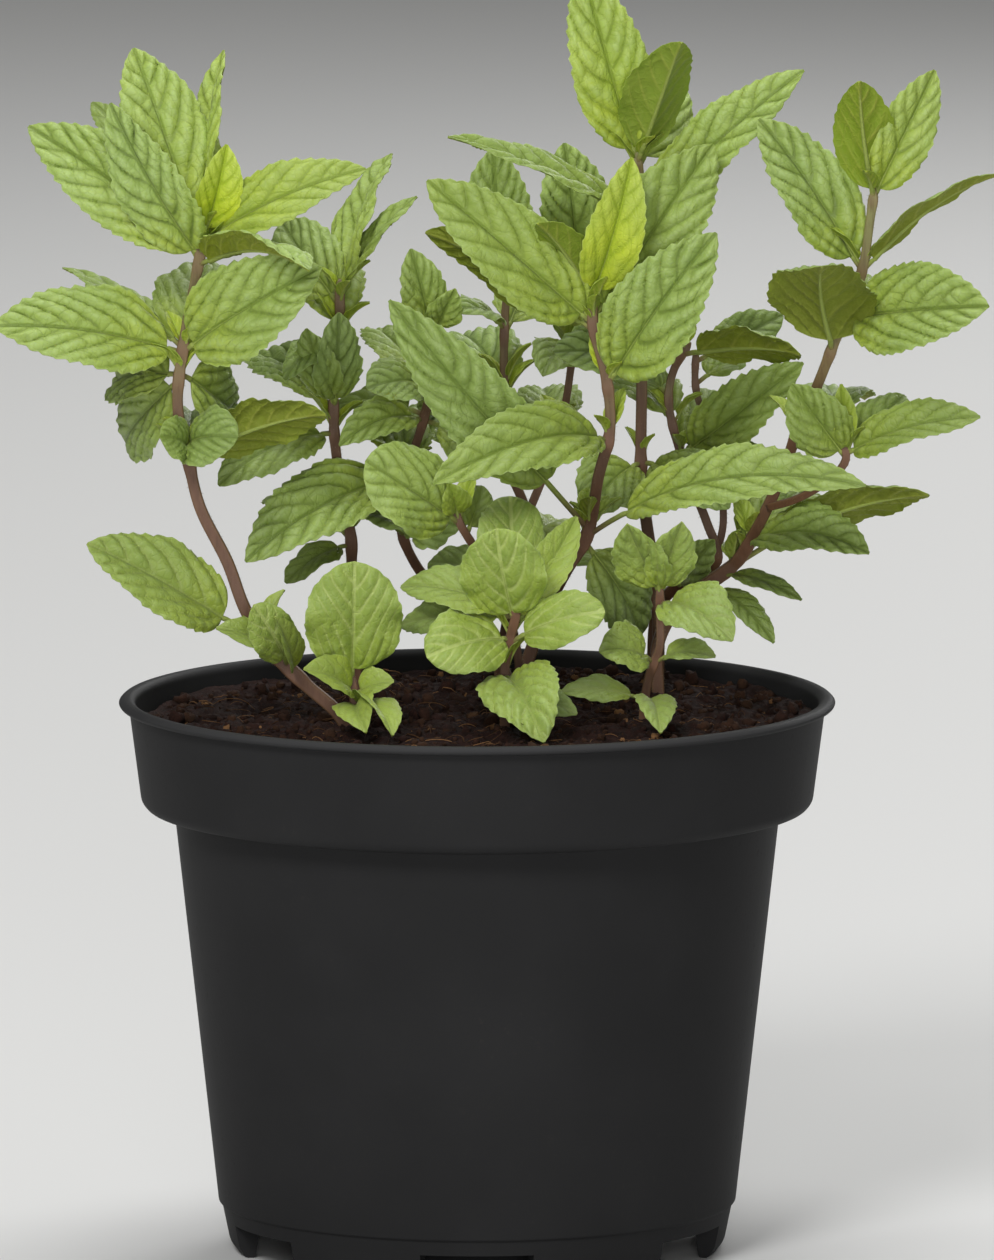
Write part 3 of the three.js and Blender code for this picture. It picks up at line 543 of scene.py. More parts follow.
class Shape:
    """Points, faces and values per point of one piece, gathered from several surfaces."""

    def __init__(self, *names):
        self.names = names
        self.points, self.faces, self.values = [], [], {name: [] for name in names}
        self.count = 0

    def add(self, points, faces, **values):
        """Adds a surface: points in millimetres, a list of face arrays, and a value or an array for a name,
        which is 0 where it isn't given."""
        points = np.asarray(points, float).reshape(-1, 3)
        self.points.append(points)
        self.faces += [np.asarray(part) + self.count for part in faces]
        for name in self.names:
            value = np.asarray(values.get(name, 0), float).ravel()
            self.values[name].append(np.broadcast_to(value, len(points)))
        self.count += len(points)

    def piece(self, name, material, replaced=(), uv=None, sharp=None):
        """The finished object, which rides on the body. Faces that meet at more than the sharp angle show
        an edge."""
        points = np.concatenate(self.points) * MM
        mesh = bpy.data.meshes.new(name)
        mesh.vertices.add(len(points))
        mesh.vertices.foreach_set("co", points.astype(np.float32).ravel())
        corners = np.concatenate([part.ravel() for part in self.faces])
        sizes = np.concatenate([np.full(len(part), part.shape[1]) for part in self.faces])
        mesh.loops.add(len(corners))
        mesh.loops.foreach_set("vertex_index", corners.astype(np.int32))
        mesh.polygons.add(len(sizes))
        mesh.polygons.foreach_set("loop_start", (np.cumsum(sizes) - sizes).astype(np.int32))
        mesh.update(calc_edges=True)
        for key in self.names:
            layer = mesh.attributes.new(key, "FLOAT", "POINT")
            layer.data.foreach_set("value", np.concatenate(self.values[key]).astype(np.float32))
        if uv:
            pair = np.stack([np.concatenate(self.values[key]) for key in uv], axis=-1)[corners]
            mesh.uv_layers.new(name="blade").data.foreach_set("uv", pair.astype(np.float32).ravel())
        mesh.shade_smooth()
        if sharp:
            mesh.set_sharp_from_angle(angle=sharp)
        mesh.materials.append(material)
        thing = bpy.data.objects.new(name, mesh)
        bpy.context.scene.collection.objects.link(thing)
        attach(thing, BODY)
        if replaced:
            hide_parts(*replaced)
        return thing


def tube(path, side, lift, across, high, sides, power=2.0):
    """A closed tube: round each point of a path an oval |x/across|^power + |y/high|^power = 1,
    with x along the side vectors and y along the lift vectors, and a flat face on both ends."""
    angle = around(sides)
    x = np.sign(np.cos(angle)) * np.abs(np.cos(angle)) ** (2 / power)
    y = np.sign(np.sin(angle)) * np.abs(np.sin(angle)) ** (2 / power)
    across = np.broadcast_to(across, len(path))[:, None, None]
    high = np.broadcast_to(high, len(path))[:, None, None]
    points = path[:, None] + side[:, None] * x[:, None] * across + lift[:, None] * y[:, None] * high
    return points, ring_faces(len(path), sides)


def noise(points, size, seed):
    """Smooth random heights from -1 to 1: random values on a square lattice of the given spacing,
    joined by soft steps in both directions. The lattice repeats after its last row."""
    rows = 97
    lattice = np.random.default_rng(seed).uniform(-1, 1, (rows, rows))
    place = np.asarray(points, float) / size
    cell = np.floor(place).astype(int)
    part = place - cell
    part = part * part * (3 - 2 * part)
    i, j = cell[..., 0] % rows, cell[..., 1] % rows
    i1, j1 = (i + 1) % rows, (j + 1) % rows
    low = lattice[i, j] * (1 - part[..., 0]) + lattice[i1, j] * part[..., 0]
    high = lattice[i, j1] * (1 - part[..., 0]) + lattice[i1, j1] * part[..., 0]
    return low * (1 - part[..., 1]) + high * part[..., 1]


# ---------------------------------------------------------------- materials


class Value:
    """A socket of a node tree. Arithmetic on it adds Math nodes."""

    def __init__(self, tree, socket):
        self.tree, self.socket = tree, socket

    def maths(self, operation, *values):
        """One Math node."""
        return self.tree.add("ShaderNodeMath", {"operation": operation}, dict(enumerate(values)))[0]

    def __add__(self, other):
        return self.maths("ADD", self, other)

    def __sub__(self, other):
        return self.maths("SUBTRACT", self, other)

    def __rsub__(self, other):
        return self.maths("SUBTRACT", other, self)

    def __mul__(self, other):
        return self.maths("MULTIPLY", self, other)

    def __truediv__(self, other):
        return self.maths("DIVIDE", self, other)

    def __pow__(self, other):
        return self.maths("POWER", self, other)

    def __abs__(self):
        return self.maths("ABSOLUTE", self)

    def fraction(self):
        return self.maths("FRACT", self)

    def most(self, other):
        return self.maths("MAXIMUM", self, other)

    def step(self, low, high):
        """0 under the low limit, 1 over the high one and a soft step between them."""
        settings = {"interpolation_type": "SMOOTHSTEP"}
        return self.tree.add("ShaderNodeMapRange", settings, {0: self, 1: low, 2: high, 3: 0, 4: 1})[0]

    __radd__ = __add__
    __rmul__ = __mul__


class Tree:
    """The node tree of one material, with the few nodes that all of them use."""

    def __init__(self, name):
        self.material = bpy.data.materials.new(name)
        self.material.use_nodes = True
        self.nodes = self.material.node_tree.nodes
        self.links = self.material.node_tree.links
        self.shader = self.nodes["Principled BSDF"]

    def put(self, socket, value):
        """Links a socket to a value of the tree, or sets it to a number or a colour."""
        if isinstance(value, Value):
            self.links.new(value.socket, socket)
        elif hasattr(socket.default_value, "__len__") and len(socket.default_value) == 4 and len(value) == 3:
            socket.default_value = (*value, 1)
        else:
            socket.default_value = value

    def add(self, kind, settings=None, inputs=None):
        """A node of a kind, its settings first, then the values or links of its sockets. Gives its
        outputs."""
        node = self.nodes.new(kind)
        for key, value in (settings or {}).items():
            setattr(node, key, value)
        for key, value in (inputs or {}).items():
            self.put(node.inputs[key], value)
        return [Value(self, socket) for socket in node.outputs]

    def mix(self, factor, first, second):
        """The first colour where the factor is 0 and the second where it is 1."""
        return self.add("ShaderNodeMix", {"data_type": "RGBA"}, {0: factor, 6: first, 7: second})[2]

    def value(self, name):
        """A value that the mesh holds for each of its points."""
        return self.add("ShaderNodeAttribute", {"attribute_name": name})[2]

    def values(self, *names):
        """Values that the mesh holds for each of its points."""
        return [self.value(name) for name in names]

    def place(self):
        """Object coordinates, in millimetres."""
        found = self.add("ShaderNodeTexCoord")[3]
        return self.add("ShaderNodeVectorMath", {"operation": "SCALE"}, {0: found, 3: 1 / MM})[0]

    def speckle(self, vector, scale, detail=2, rough=0.5):
        """Cloudy noise from 0 to 1."""
        inputs = {"Vector": vector, "Scale": scale, "Detail": detail, "Roughness": rough}
        return self.add("ShaderNodeTexNoise", {}, inputs)[0]

    def cells(self, vector, scale):
        """The distance to the nearest wall of a network of cells."""
        inputs = {"Vector": vector, "Scale": scale}
        return self.add("ShaderNodeTexVoronoi", {"feature": "DISTANCE_TO_EDGE"}, inputs)[0]

    def bump(self, height, distance, strength=1, normal=None):
        """A normal bent by a height from 0 to 1, over a distance in millimetres."""
        inputs = {"Height": height, "Distance": distance * MM, "Strength": strength}
        if normal:
            inputs["Normal"] = normal
        return self.add("ShaderNodeBump", {}, inputs)[0]

    def finish(self, **inputs):
        """Sets the shader's sockets, named with _ for a space, and gives the material."""
        for key, value in inputs.items():
            self.put(self.shader.inputs[key.replace("_", " ")], value)
        return self.material


def shades(colour, factor, shift=(1, 1, 1)):
    """A colour made lighter or darker, with each part shifted."""
    return tuple(min(1, part * factor * bend) for part, bend in zip(colour, shift))


CREAM = (0.6, 0.7, 0.24)  # veins of the low leaves in front
STALK_TOP, STALK_FOOT = (0.27, 0.33, 0.07), (0.2, 0.13, 0.065)
KNOT, HAIR = (0.19, 0.09, 0.05), (0.34, 0.29, 0.18)
DUST = (0.1, 0.085, 0.07)


def leaf_veins(tree, flat, cloud):
    """Where the veins, the cross veins, a fine net and the hollows along the veins (for painted shade) are,
    from 0 to 1.
    A vein lies where the phase is a whole number, so its distance is that of the phase times the pitch."""
    phase, pitch, rung, mesh = tree.values("vein", "pitch", "rung", "mesh")
    rib, rim, swell = tree.values("rib", "rim", "swell")
    bend = (tree.speckle(flat, 0.3, 2) - 0.5) * 0.12
    side_vein = (0.5 - abs((phase + bend).fraction() - 0.5)) * pitch
    link = (0.5 - abs((rung / mesh + bend).fraction() - 0.5)) * mesh
    strength = 0.5 + cloud.step(0.35, 0.6) * 0.5
    narrow = (1 - side_vein.step(0.05, 0.38)) * strength
    wide = 1 - side_vein.step(0.1, 1.1)
    middle = 1 - rib.step(0.2, 0.5)
    veins = (narrow * (1 - rim**4)).most(middle * 0.9)
    cross = (1 - link.step(0.05, 0.3)) * (1 - rim.step(0.85, 1.0)) * (1.3 - strength)
    net = 1 - tree.cells(flat, 0.75).step(0.0, 0.14)
    # hollow: where shade is painted, wide along the veins and in the low parts between the swellings.
    hollow = (wide * 0.5).most(1 - swell.step(0.2, 0.95))
    return veins, cross, net, hollow


def leaf_material(settings):
    """Soft green blades: swellings with a painted highlight on their tops, painted shade in the hollows and
    dark furrowed veins above, pale raised veins below, a fine net between them, a thin painted highlight at
    the rim, leaves painted darker partly from ageing and partly as painted shade, and yellower towards the
    base and on young leaves."""
    tree = Tree("mint_leaf")
    lower, young, dark, milky, tint = tree.values("lower", "young", "dark", "milky", "tint")
    stalk, far, swell, rim = tree.values("stalk", "far", "swell", "rim")
    flat = tree.add("ShaderNodeUVMap", {"uv_map": "blade"})[0]
    cloud = tree.speckle(flat, 0.13, 3)
    fine = tree.speckle(flat, 0.8, 3, 0.6)
    veins, cross, net, hollow = leaf_veins(tree, flat, cloud)
    old, new, below = settings.mature, settings.young, settings.lower

    # pale: the colour of the painted highlight, for the tops of the swellings and the rim of the upper face.
    pale = shades(old, 1.28, (1.05, 1, 1.35))
    fresh = tree.mix(far.step(0.2, 0.85) * 0.65, new, shades(old, 1.35, (1.12, 1, 0.7)))
    upper = tree.mix(young, old, fresh)
    upper = tree.mix((1 - far.step(0.0, 0.5)) * 0.55, upper, shades(new, 0.8))
    upper = tree.mix(cloud.step(0.35, 0.7) * 0.35, upper, shades(old, 0.74, (0.92, 1, 0.8)))
    # Painted highlight: the tops of the swellings are lightened and made bluish, as a sheen.
    upper = tree.mix(swell.step(0.55, 0.95) * fine.step(0.3, 0.65) * (1 - young) * 0.7, upper, pale)
    upper = tree.mix(milky * 0.4, upper, shades(new, 0.45, (0.75, 1, 0.9)))
    deep = tree.mix(young, shades(old, 0.3, (0.85, 1, 0.6)), shades(new, 0.55, (0.85, 1, 0.5)))
    deep = tree.mix(milky * cloud.step(0.2, 0.5), deep, CREAM)
    # Painted shade in the hollows along the veins and between the swellings.
    upper = tree.mix(hollow * (0.36 - milky * 0.14), upper, deep)
    upper = tree.mix((veins * 0.72).most(cross * 0.5 * (1 - milky * 0.7)).most(net * 0.12), upper, deep)

    under = tree.mix(young, below, shades(new, 0.42, (0.8, 1, 1)))
    under = tree.mix(cloud.step(0.3, 0.8) * 0.4, under, shades(below, 0.75))
    light = shades(below, 1.5, (1.1, 1, 3))
    under = tree.mix((veins * 0.65).most(cross * 0.4).most(net * 0.15), under, light)

    blade = tree.mix(lower, upper, under)
    # Leaves painted darker: partly ageing, partly painted shade for leaves deep in the plant, low behind and
    # on the far right.
    blade = tree.mix(dark * 0.55, blade, shades(old, 0.3, (1.05, 1, 0.55)))
    blade = tree.mix((tint - 0.5) * 0.8, blade, shades(old, 0.6, (1, 1, 0.6)))
    # A thin painted highlight along the rim of the upper face.
    blade = tree.mix(rim.step(0.94, 1.0) * 0.3 * (1 - lower), blade, pale)
    colour = tree.mix(stalk.step(0.0, 0.05), blade, tree.mix(stalk.step(0.3, 0.95), STALK_TOP, STALK_FOOT))
    height = fine * 0.5 - veins * 0.5 - cross * 0.4 - net * 0.3
    relief = tree.bump(height * (1 - lower * 2), 0.25, 0.6)
    return tree.finish(
        Base_Color=colour, Roughness=0.42 + fine * 0.18 + lower * 0.2, Normal=relief, Specular_IOR_Level=0.36,
        Sheen_Weight=0.04, Sheen_Roughness=0.4, Subsurface_Weight=0.14,
        Subsurface_Radius=(0.8, 1.0, 0.15), Subsurface_Scale=0.0006,
    )


def stem_material(settings):
    """Brown-purple below and green above, with pale ridges, pinkish knots, fine streaks and a soft sheen."""
    tree = Tree("mint_stem")
    share, knot, ridge, hair = tree.values("share", "knot", "ridge", "hair")
    place = tree.place()
    streaks = tree.add("ShaderNodeMapping", {}, {"Vector": place, "Scale": (1, 1, 0.12)})[0]
    fine = tree.speckle(streaks, 1.6, 3, 0.6)
    cloud = tree.speckle(place, 0.12, 2)
    base = tree.mix((share + (cloud - 0.5) * 0.6).step(0.45, 1.05), settings.low, settings.high)
    base = tree.mix(fine.step(0.35, 0.75) * 0.5, base, shades(settings.low, 0.5))
    base = tree.mix(ridge * 0.16, base, shades(settings.high, 0.9, (1.1, 0.8, 1)))
    base = tree.mix(knot * 0.45, base, KNOT)
    base = tree.mix(hair * 0.5, base, HAIR)
    return tree.finish(
        Base_Color=base, Roughness=0.5 + fine * 0.15, Normal=tree.bump(fine, 0.12, 0.5),
        Sheen_Weight=0.03, Sheen_Roughness=0.4, Subsurface_Weight=0.05,
        Subsurface_Radius=(0.8, 0.6, 0.3), Subsurface_Scale=0.0008,
    )


def pot_material(settings):
    """Satin black plastic: a soft moulded grain, faint flow rings, dull dusty patches and a painted highlight
    along the top of the lip.
    """
    tree = Tree("pot_plastic")
    place = tree.place()
    grain = tree.speckle(place, 1.3, 3, 0.6)
    cloud = tree.speckle(place, 0.035, 3)
    flattened = tree.add("ShaderNodeMapping", {}, {"Vector": place, "Scale": (0.02, 0.02, 1)})[0]
    rings = tree.speckle(flattened, 0.5, 2)
    height = tree.add("ShaderNodeSeparateXYZ", {}, {0: place})[2]
    dust = tree.speckle(place, 0.6, 4, 0.7).step(0.58, 0.8)
    base = tree.mix(cloud.step(0.3, 0.75) * 0.5, settings.colour, shades(settings.colour, 1.35))
    # A painted highlight along the top of the lip.
    base = tree.mix(height.step(99.2, 100.8) * 0.6, base, shades(settings.colour, 2.6))
    base = tree.mix(dust * (cloud.step(0.45, 0.8) * 0.2 + 0.03), base, DUST)
    relief = tree.bump(grain, 0.05, 0.35, tree.bump(rings, 0.12, 0.25))
    rough = 0.5 + cloud * 0.1 + dust * 0.2
    return tree.finish(Base_Color=base, Roughness=rough, Normal=relief, Specular_IOR_Level=0.04)


def soil_material(settings):
    """Dark red-brown peat: painted shade, near black, in the hollows of its relief, rusty crumbs and light
    fibres, dull all over.
    """
    tree = Tree("peat")
    tone = tree.value("tone")
    place = tree.place()
    coarse = tree.speckle(place, 0.45, 4, 0.65)
    fine = tree.speckle(place, 2.2, 4, 0.7)
    # Painted shade: near black where the coarse relief is low, in its hollows.
    base = tree.mix(coarse.step(0.35, 0.7), shades(settings.colour, 0.42), settings.colour)
    base = tree.mix(fine.step(0.55, 0.78) * 0.8, base, shades(settings.colour, 3.2, (1.1, 0.9, 0.75)))
    base = tree.mix(tone, base, settings.light)
    relief = tree.bump(fine, 0.5, 0.7, tree.bump(coarse, 0.9, 0.6))
    return tree.finish(Base_Color=base, Roughness=0.88 + fine * 0.1, Normal=relief, Specular_IOR_Level=0.2)


# ---------------------------------------------------------------- stems and leaves


def curve(points, spacing):
    """A smooth line through points, with evenly spaced steps. Between two points it is the cubic whose
    tangents weigh the neighbouring chords by the square roots of their lengths."""
    p = np.asarray(points, float)
    p = np.vstack([2 * p[0] - p[1], p, 2 * p[-1] - p[-2]])
    gap = np.sqrt(np.maximum(np.linalg.norm(np.diff(p, axis=0), axis=1), 1e-6))[:, None]
    before, here, after = gap[:-2], gap[1:-1], gap[2:]
    a, b, c, d = p[:-3], p[1:-2], p[2:-1], p[3:]
    first = ((b - a) / before - (c - a) / (before + here) + (c - b) / here) * here
    last = ((c - b) / here - (d - b) / (here + after) + (d - c) / after) * here
    u = np.linspace(0, 1, 24, endpoint=False)[:, None, None]
    line = (
        (2 * u**3 - 3 * u**2 + 1) * b + (u**3 - 2 * u**2 + u) * first
        + (3 * u**2 - 2 * u**3) * c + (u**3 - u**2) * last
    )
    line = np.vstack([line.transpose(1, 0, 2).reshape(-1, 3), p[-2]])
    run = np.concatenate([[0], np.cumsum(np.linalg.norm(np.diff(line, axis=0), axis=1))])
    even = np.linspace(0, run[-1], max(8, int(run[-1] / spacing)))
    return np.stack([np.interp(even, run, line[:, k]) for k in range(3)], axis=-1)


def stem_frame(path):
    """The direction of a path at each step, and two vectors square to it, the first near X."""
    along = unit(np.gradient(path, axis=0))
    side = unit(np.cross((0, 1, 0), along))
    return along, side, np.cross(along, side)


def hairs(shape, roots, outward, length, thick, draw, **values):
    """Fine hairs: on each root a three-sided spike that leans a little at random."""
    lean = unit(outward + draw.normal(0, 0.28, outward.shape))
    side = unit(np.cross(lean, (0.31, 0.17, 0.94)))
    other = np.cross(lean, side)
    long = (length * draw.uniform(0.5, 1.15, len(roots)))[:, None, None]
    angle = around(3)
    ring = side[:, None] * np.cos(angle)[:, None] + other[:, None] * np.sin(angle)[:, None]
    base = roots[:, None] + ring * thick - lean[:, None] * 0.1
    tips = roots[:, None] + lean[:, None] * long
    points = np.concatenate([base, tips], axis=1)
    start = 4 * np.arange(len(roots))[:, None]
    faces = [start + np.array(f) for f in ((0, 1, 3), (1, 2, 3), (2, 0, 3), (2, 1, 0))]
    shape.add(points, [np.concatenate(faces)], **values)


def add_stem(shape, each, hair, draw):
    """A square stem with hollowed faces, swollen where leaves leave it, closing in a soft point, with
    its hairs."""
    path = curve(each["points"], STEM_STEP)
    along, side, lift = stem_frame(path)
    share = np.linspace(0, 1, len(path))
    half = each["foot"] + (each["top"] - each["foot"]) * share
    knots = np.unique([row["at"] for row in each["leaves"]])
    near = np.exp(-(((path[:, 2:] - knots + 0.6) / 1.3) ** 2)).max(axis=1)
    half = half * (0.94 + 0.18 * near) * (1 - 0.75 * smooth(0.985, 1.0, share))
    points, faces = tube(path, side, lift, half, half, STEM_SIDES, STEM_SQUARENESS)
    ridge = 0.5 - 0.5 * np.cos(4 * around(STEM_SIDES))
    sunk = 1 - 0.1 * (1 - ridge)
    points = path[:, None] + (points - path[:, None]) * sunk[:, None]
    tone = np.interp(path[:, 2], (90, 200), (0, 1))
    shape.add(
        points, faces, share=np.repeat(tone, STEM_SIDES), knot=np.repeat(near, STEM_SIDES),
        ridge=np.tile(ridge, len(path)),
    )
    count = 4 * len(path)
    ring = draw.integers(2, len(path) - 2, count)
    turn = draw.integers(0, STEM_SIDES, count)
    roots = points[ring, turn]
    outward = unit(roots - path[ring]) - along[ring] * 0.35
    keep = roots[:, 2] > SOIL_TOP
    hairs(shape, roots[keep], outward[keep], hair, HAIR_RADIUS, draw, share=1, hair=1)


def outline(share, kind):
    """Half the width of a blade at a share of its length: x^base (1 - x)^point, with its highest value
    made 1."""
    widest = kind["base"] / (kind["base"] + kind["point"])
    return (share / widest) ** kind["base"] * ((1 - share) / (1 - widest)) ** kind["point"]


def add_leaf(shape, row, root, thickness, quilting, draw):
    """A blade as a closed thin sheet on a grid of shares along it (t) and across it (v from -1 to 1).
    The rib is a parabola from root to tip, bent, curled and twisted a little. Across it a point lies at v
    times the half outline, with saw teeth of uneven depth at the rim. It rises by the fold times |v|, by a
    crown between rib and rim, by slow waves at the rim and by swellings between the veins. The side veins
    leave the rib in turn and sweep forward ever more: their phase is their number times t less the sweep,
    and the swelling is |sin(pi phase)|^0.55, cut across by smaller |sin| swellings. A shallow furrow runs
    along the rib above."""
    kind = KINDS[row["kind"]]
    chord = np.array(row["tip"], float) - root
    length = np.linalg.norm(chord)
    along = chord / length
    across = unit(np.cross(along, row["face"]))
    up = np.cross(across, along)
    start = min(0.5, (row["stalk"] + 1) / length)
    blade = length * (1 - start)
    bend, curl, twist = draw.normal(0, 0.014), draw.uniform(0.0, 0.04), draw.normal(0, 0.16)
    waves, shift = draw.uniform(1.4, 2.6), draw.uniform(0, 2 * pi, 2)
    tint, offset = draw.uniform(0, 1), draw.uniform(0.3, 0.6)

    # Low leaves in front have milky veins and higher ones are fresher. Those low behind or far right are
    # painted darker: painted shade, and for the low ones partly ageing as well.
    low = 1 - smooth(122, 135, root[2])
    milky = low * (0.45 + 0.55 * kind["milky"]) * (1 - smooth(-10, 10, root[1]))
    newness = (kind["young"] - 0.55 * kind["milky"] * (1 - low)) * (0.55 + 0.45 * smooth(115, 165, root[2]))
    ageing_and_painted_shade = 0.4 * (1 - smooth(115, 190, root[2])) * smooth(-34, -8, root[1]) + 0.2 * smooth(35, 70, root[0])

    def spine(s):
        """The rib at shares s of the whole length, and the directions across the leaf and out of it."""
        t = np.clip((s - start) / (1 - start), 0, 1)[:, None]
        s = s[:, None]
        rise = unit(up - along * (row["arch"] * 4 * (1 - 2 * s)))
        line = root + along * (length * s) + up * (row["arch"] * length * 4 * s * (1 - s))
        line = line + across * (bend * length * 4 * t * (1 - t)) - rise * (curl * blade * (t**4 - t**2 * 0.3))
        turned = twist * np.sin(pi * t) * 0.8
        over = across * np.cos(turned) + rise * np.sin(turned)
        return line, over, rise * np.cos(turned) - across * np.sin(turned)

    # The grid: a row of points for each step of the teeth, closer together towards both ends.
    teeth = max(5, int(round(blade / TOOTH)))
    steps = len(SAW) * teeth
    w = np.linspace(0, 1, steps + 1)
    t = 0.75 * w + 0.25 * (1 - np.cos(pi * w)) / 2
    columns = 2 * int(np.clip(round(row["width"] / COLUMN), 6, 14)) + 1
    v = np.linspace(-1, 1, columns)
    line, over, rise = spine(start + (1 - start) * t)

    # The outline: x is across the blade and y along it, and the teeth of its two rims take turns.
    t, half = t[:, None], np.maximum(0.3, row["width"] / 2 * outline(t, kind))[:, None]
    number = np.arange(steps + 1)[:, None] + np.array([0, 2])
    uneven = draw.uniform(0.5, 1.3, (teeth + 2, 2))[number // len(SAW), np.arange(2)]
    side = (v > 0).astype(int)
    saw, depth = SAW[number % len(SAW)][:, side], (kind["tooth"] * uneven * np.minimum(1, half / 5))[:, side]
    ends = smooth(0.02, 0.12, t) * (1 - smooth(0.97, 1, t))
    at = np.abs(v)
    reach = half * at
    x = np.sign(v) * (reach - depth * (1 - saw) * ends * at**5)
    y = np.broadcast_to(t * blade, x.shape)
    forward = saw * depth * ends * 0.5 * at**5

    # The side veins, the rungs between them and the swellings in each cell.
    veins = 3.4 + blade / 15
    sweep = reach / blade * (1.1 + 0.85 * at)
    spread = np.stack([x, y], axis=-1)
    sway = 0.6 * noise(spread + 90 * tint, 9, 3)
    phase = veins * (t - sweep) + sway + offset * smooth(-0.1, 0.1, v) + 0.3
    swell = np.abs(np.sin(pi * phase)) ** 0.55
    mesh = 1.6 + row["width"] / 15
    rung = (reach + 0.35 * t * blade) / mesh + 0.37 * np.floor(phase) + 0.9 * noise(spread + 50, 4, 9)
    cushions = swell * (0.6 + 0.4 * np.abs(np.sin(pi * rung)) ** 0.6)

    # The height above the rib, which is less at the rim, the base and the tip.
    size = min(1, row["width"] / FULL_WIDTH)
    fade = smooth(0.1, 1.4, reach) * (1 - 0.7 * at**6) * smooth(0, 0.08, t) * smooth(0, 0.1, 1 - t)
    quilt = kind["quilt"] * quilting * size * (cushions - 0.5) * fade
    furrow = -0.4 * size * np.exp(-((x / 0.7) ** 2)) * (1 - t)
    crown = half * 0.1 * 4 * at * (1 - at)
    wavy = half * kind["wave"] * at**3 * np.sin(2 * pi * waves * t + shift[side])
    lift = half * kind["fold"] * at + crown + wavy + quilt + furrow
    lift = lift + 0.1 * size * noise(spread + 40 * tint, 1.2, 5) * fade
    upper = line[:, None] + over[:, None] * x[..., None] + rise[:, None] * lift[..., None]
    upper = upper + along * forward[..., None]
    thick = np.broadcast_to(thickness * (0.3 + 0.7 * (1 - at**2)), x.shape)
    lower = upper - rise[:, None] * thick[..., None]

    both = {
        "vein": phase, "rib": np.abs(x), "rim": at, "rung": rung * mesh, "far": t,
        "swell": cushions * fade + 0.7 * (1 - fade), "u": x + 40 * tint, "v": y + 300 * tint,
    }
    shape.add(
        np.stack([upper, lower]), sheet_faces(*x.shape),
        lower=np.repeat([0, 1], x.size), young=newness + draw.normal(0, 0.07),
        dark=kind["dark"] * draw.uniform(0.6, 1.2) + ageing_and_painted_shade, tint=tint, milky=milky,
        pitch=0.5 * blade / veins, mesh=mesh,
        **{key: np.tile(np.broadcast_to(values, x.shape).ravel(), 2) for key, values in both.items()},
    )
    add_rib(shape, row, spine, start, size, tint)


def add_rib(shape, row, spine, start, size, tint):
    """The stalk of a blade and the midrib on its lower face: one thin tube just below the spine, which
    tapers towards the tip."""
    kind = KINDS[row["kind"]]
    end = 1 - 0.06 * (1 - start)
    s = np.concatenate([np.linspace(0, start, 10, endpoint=False), np.linspace(start, end, 26)])
    line, over, rise = spine(s)
    t = np.clip((s - start) / (1 - start), 0, 1)  # 0 along the stalk
    thin = np.where(s < start, 0.52, 0.42 * (1 - t) ** 0.8 + 0.08) * min(1, 0.45 + row["width"] / 20)
    sunk = np.where(s < start, 0.35, 0.43 * size * (1 - t) + 0.3 * thin + 0.16)
    points, faces = tube(line - rise * sunk[:, None], over, rise, thin, thin * 0.9, STALK_SIDES)
    tone = np.where(s < start, 1 - 0.75 * s / start, 0.2 * (1 - t) + 0.06)
    shape.add(
        points, faces, lower=1, young=kind["young"], dark=kind["dark"] * 0.6, tint=tint,
        stalk=np.repeat(tone, STALK_SIDES), pitch=2, vein=0.5, rung=1, mesh=2, swell=0.7, far=0.5,
        u=points[..., 0], v=points[..., 2],
    )


def sprouts(each, draw):
    """Rows for the small shoots that start in the axils: at each height where full leaves leave the stem,
    a pair of young leaves on opposite sides that point outwards and up."""
    heights = {row["at"] for row in each["leaves"] if row["width"] > 11 and row["at"] > 106}
    rows = []
    for height in sorted(heights):
        root = stem_point(each["points"], height + 0.6)
        turn = draw.uniform(0, pi)
        for side in (0, pi):
            long = draw.uniform(5, 10)
            lean = draw.uniform(0.5, 1.1)
            away = np.array([cos(turn + side) * lean, sin(turn + side) * lean, 1.0])
            rows.append(dict(
                at=height + 0.6, tip=root + unit(away) * long, width=long * 0.42,
                face=(-away[0] * 0.6, -away[1] * 0.6 - 0.2, 1.0), arch=0.08, kind="young", stalk=0.6,
            ))
    return rows


def stem_point(points, height):
    """The point at a height on the straight chords of a stem, where a leaf's root is."""
    points = np.asarray(points, float)
    return np.array([np.interp(height, points[:, 2], points[:, k]) for k in range(3)])


# ---------------------------------------------------------------- operators


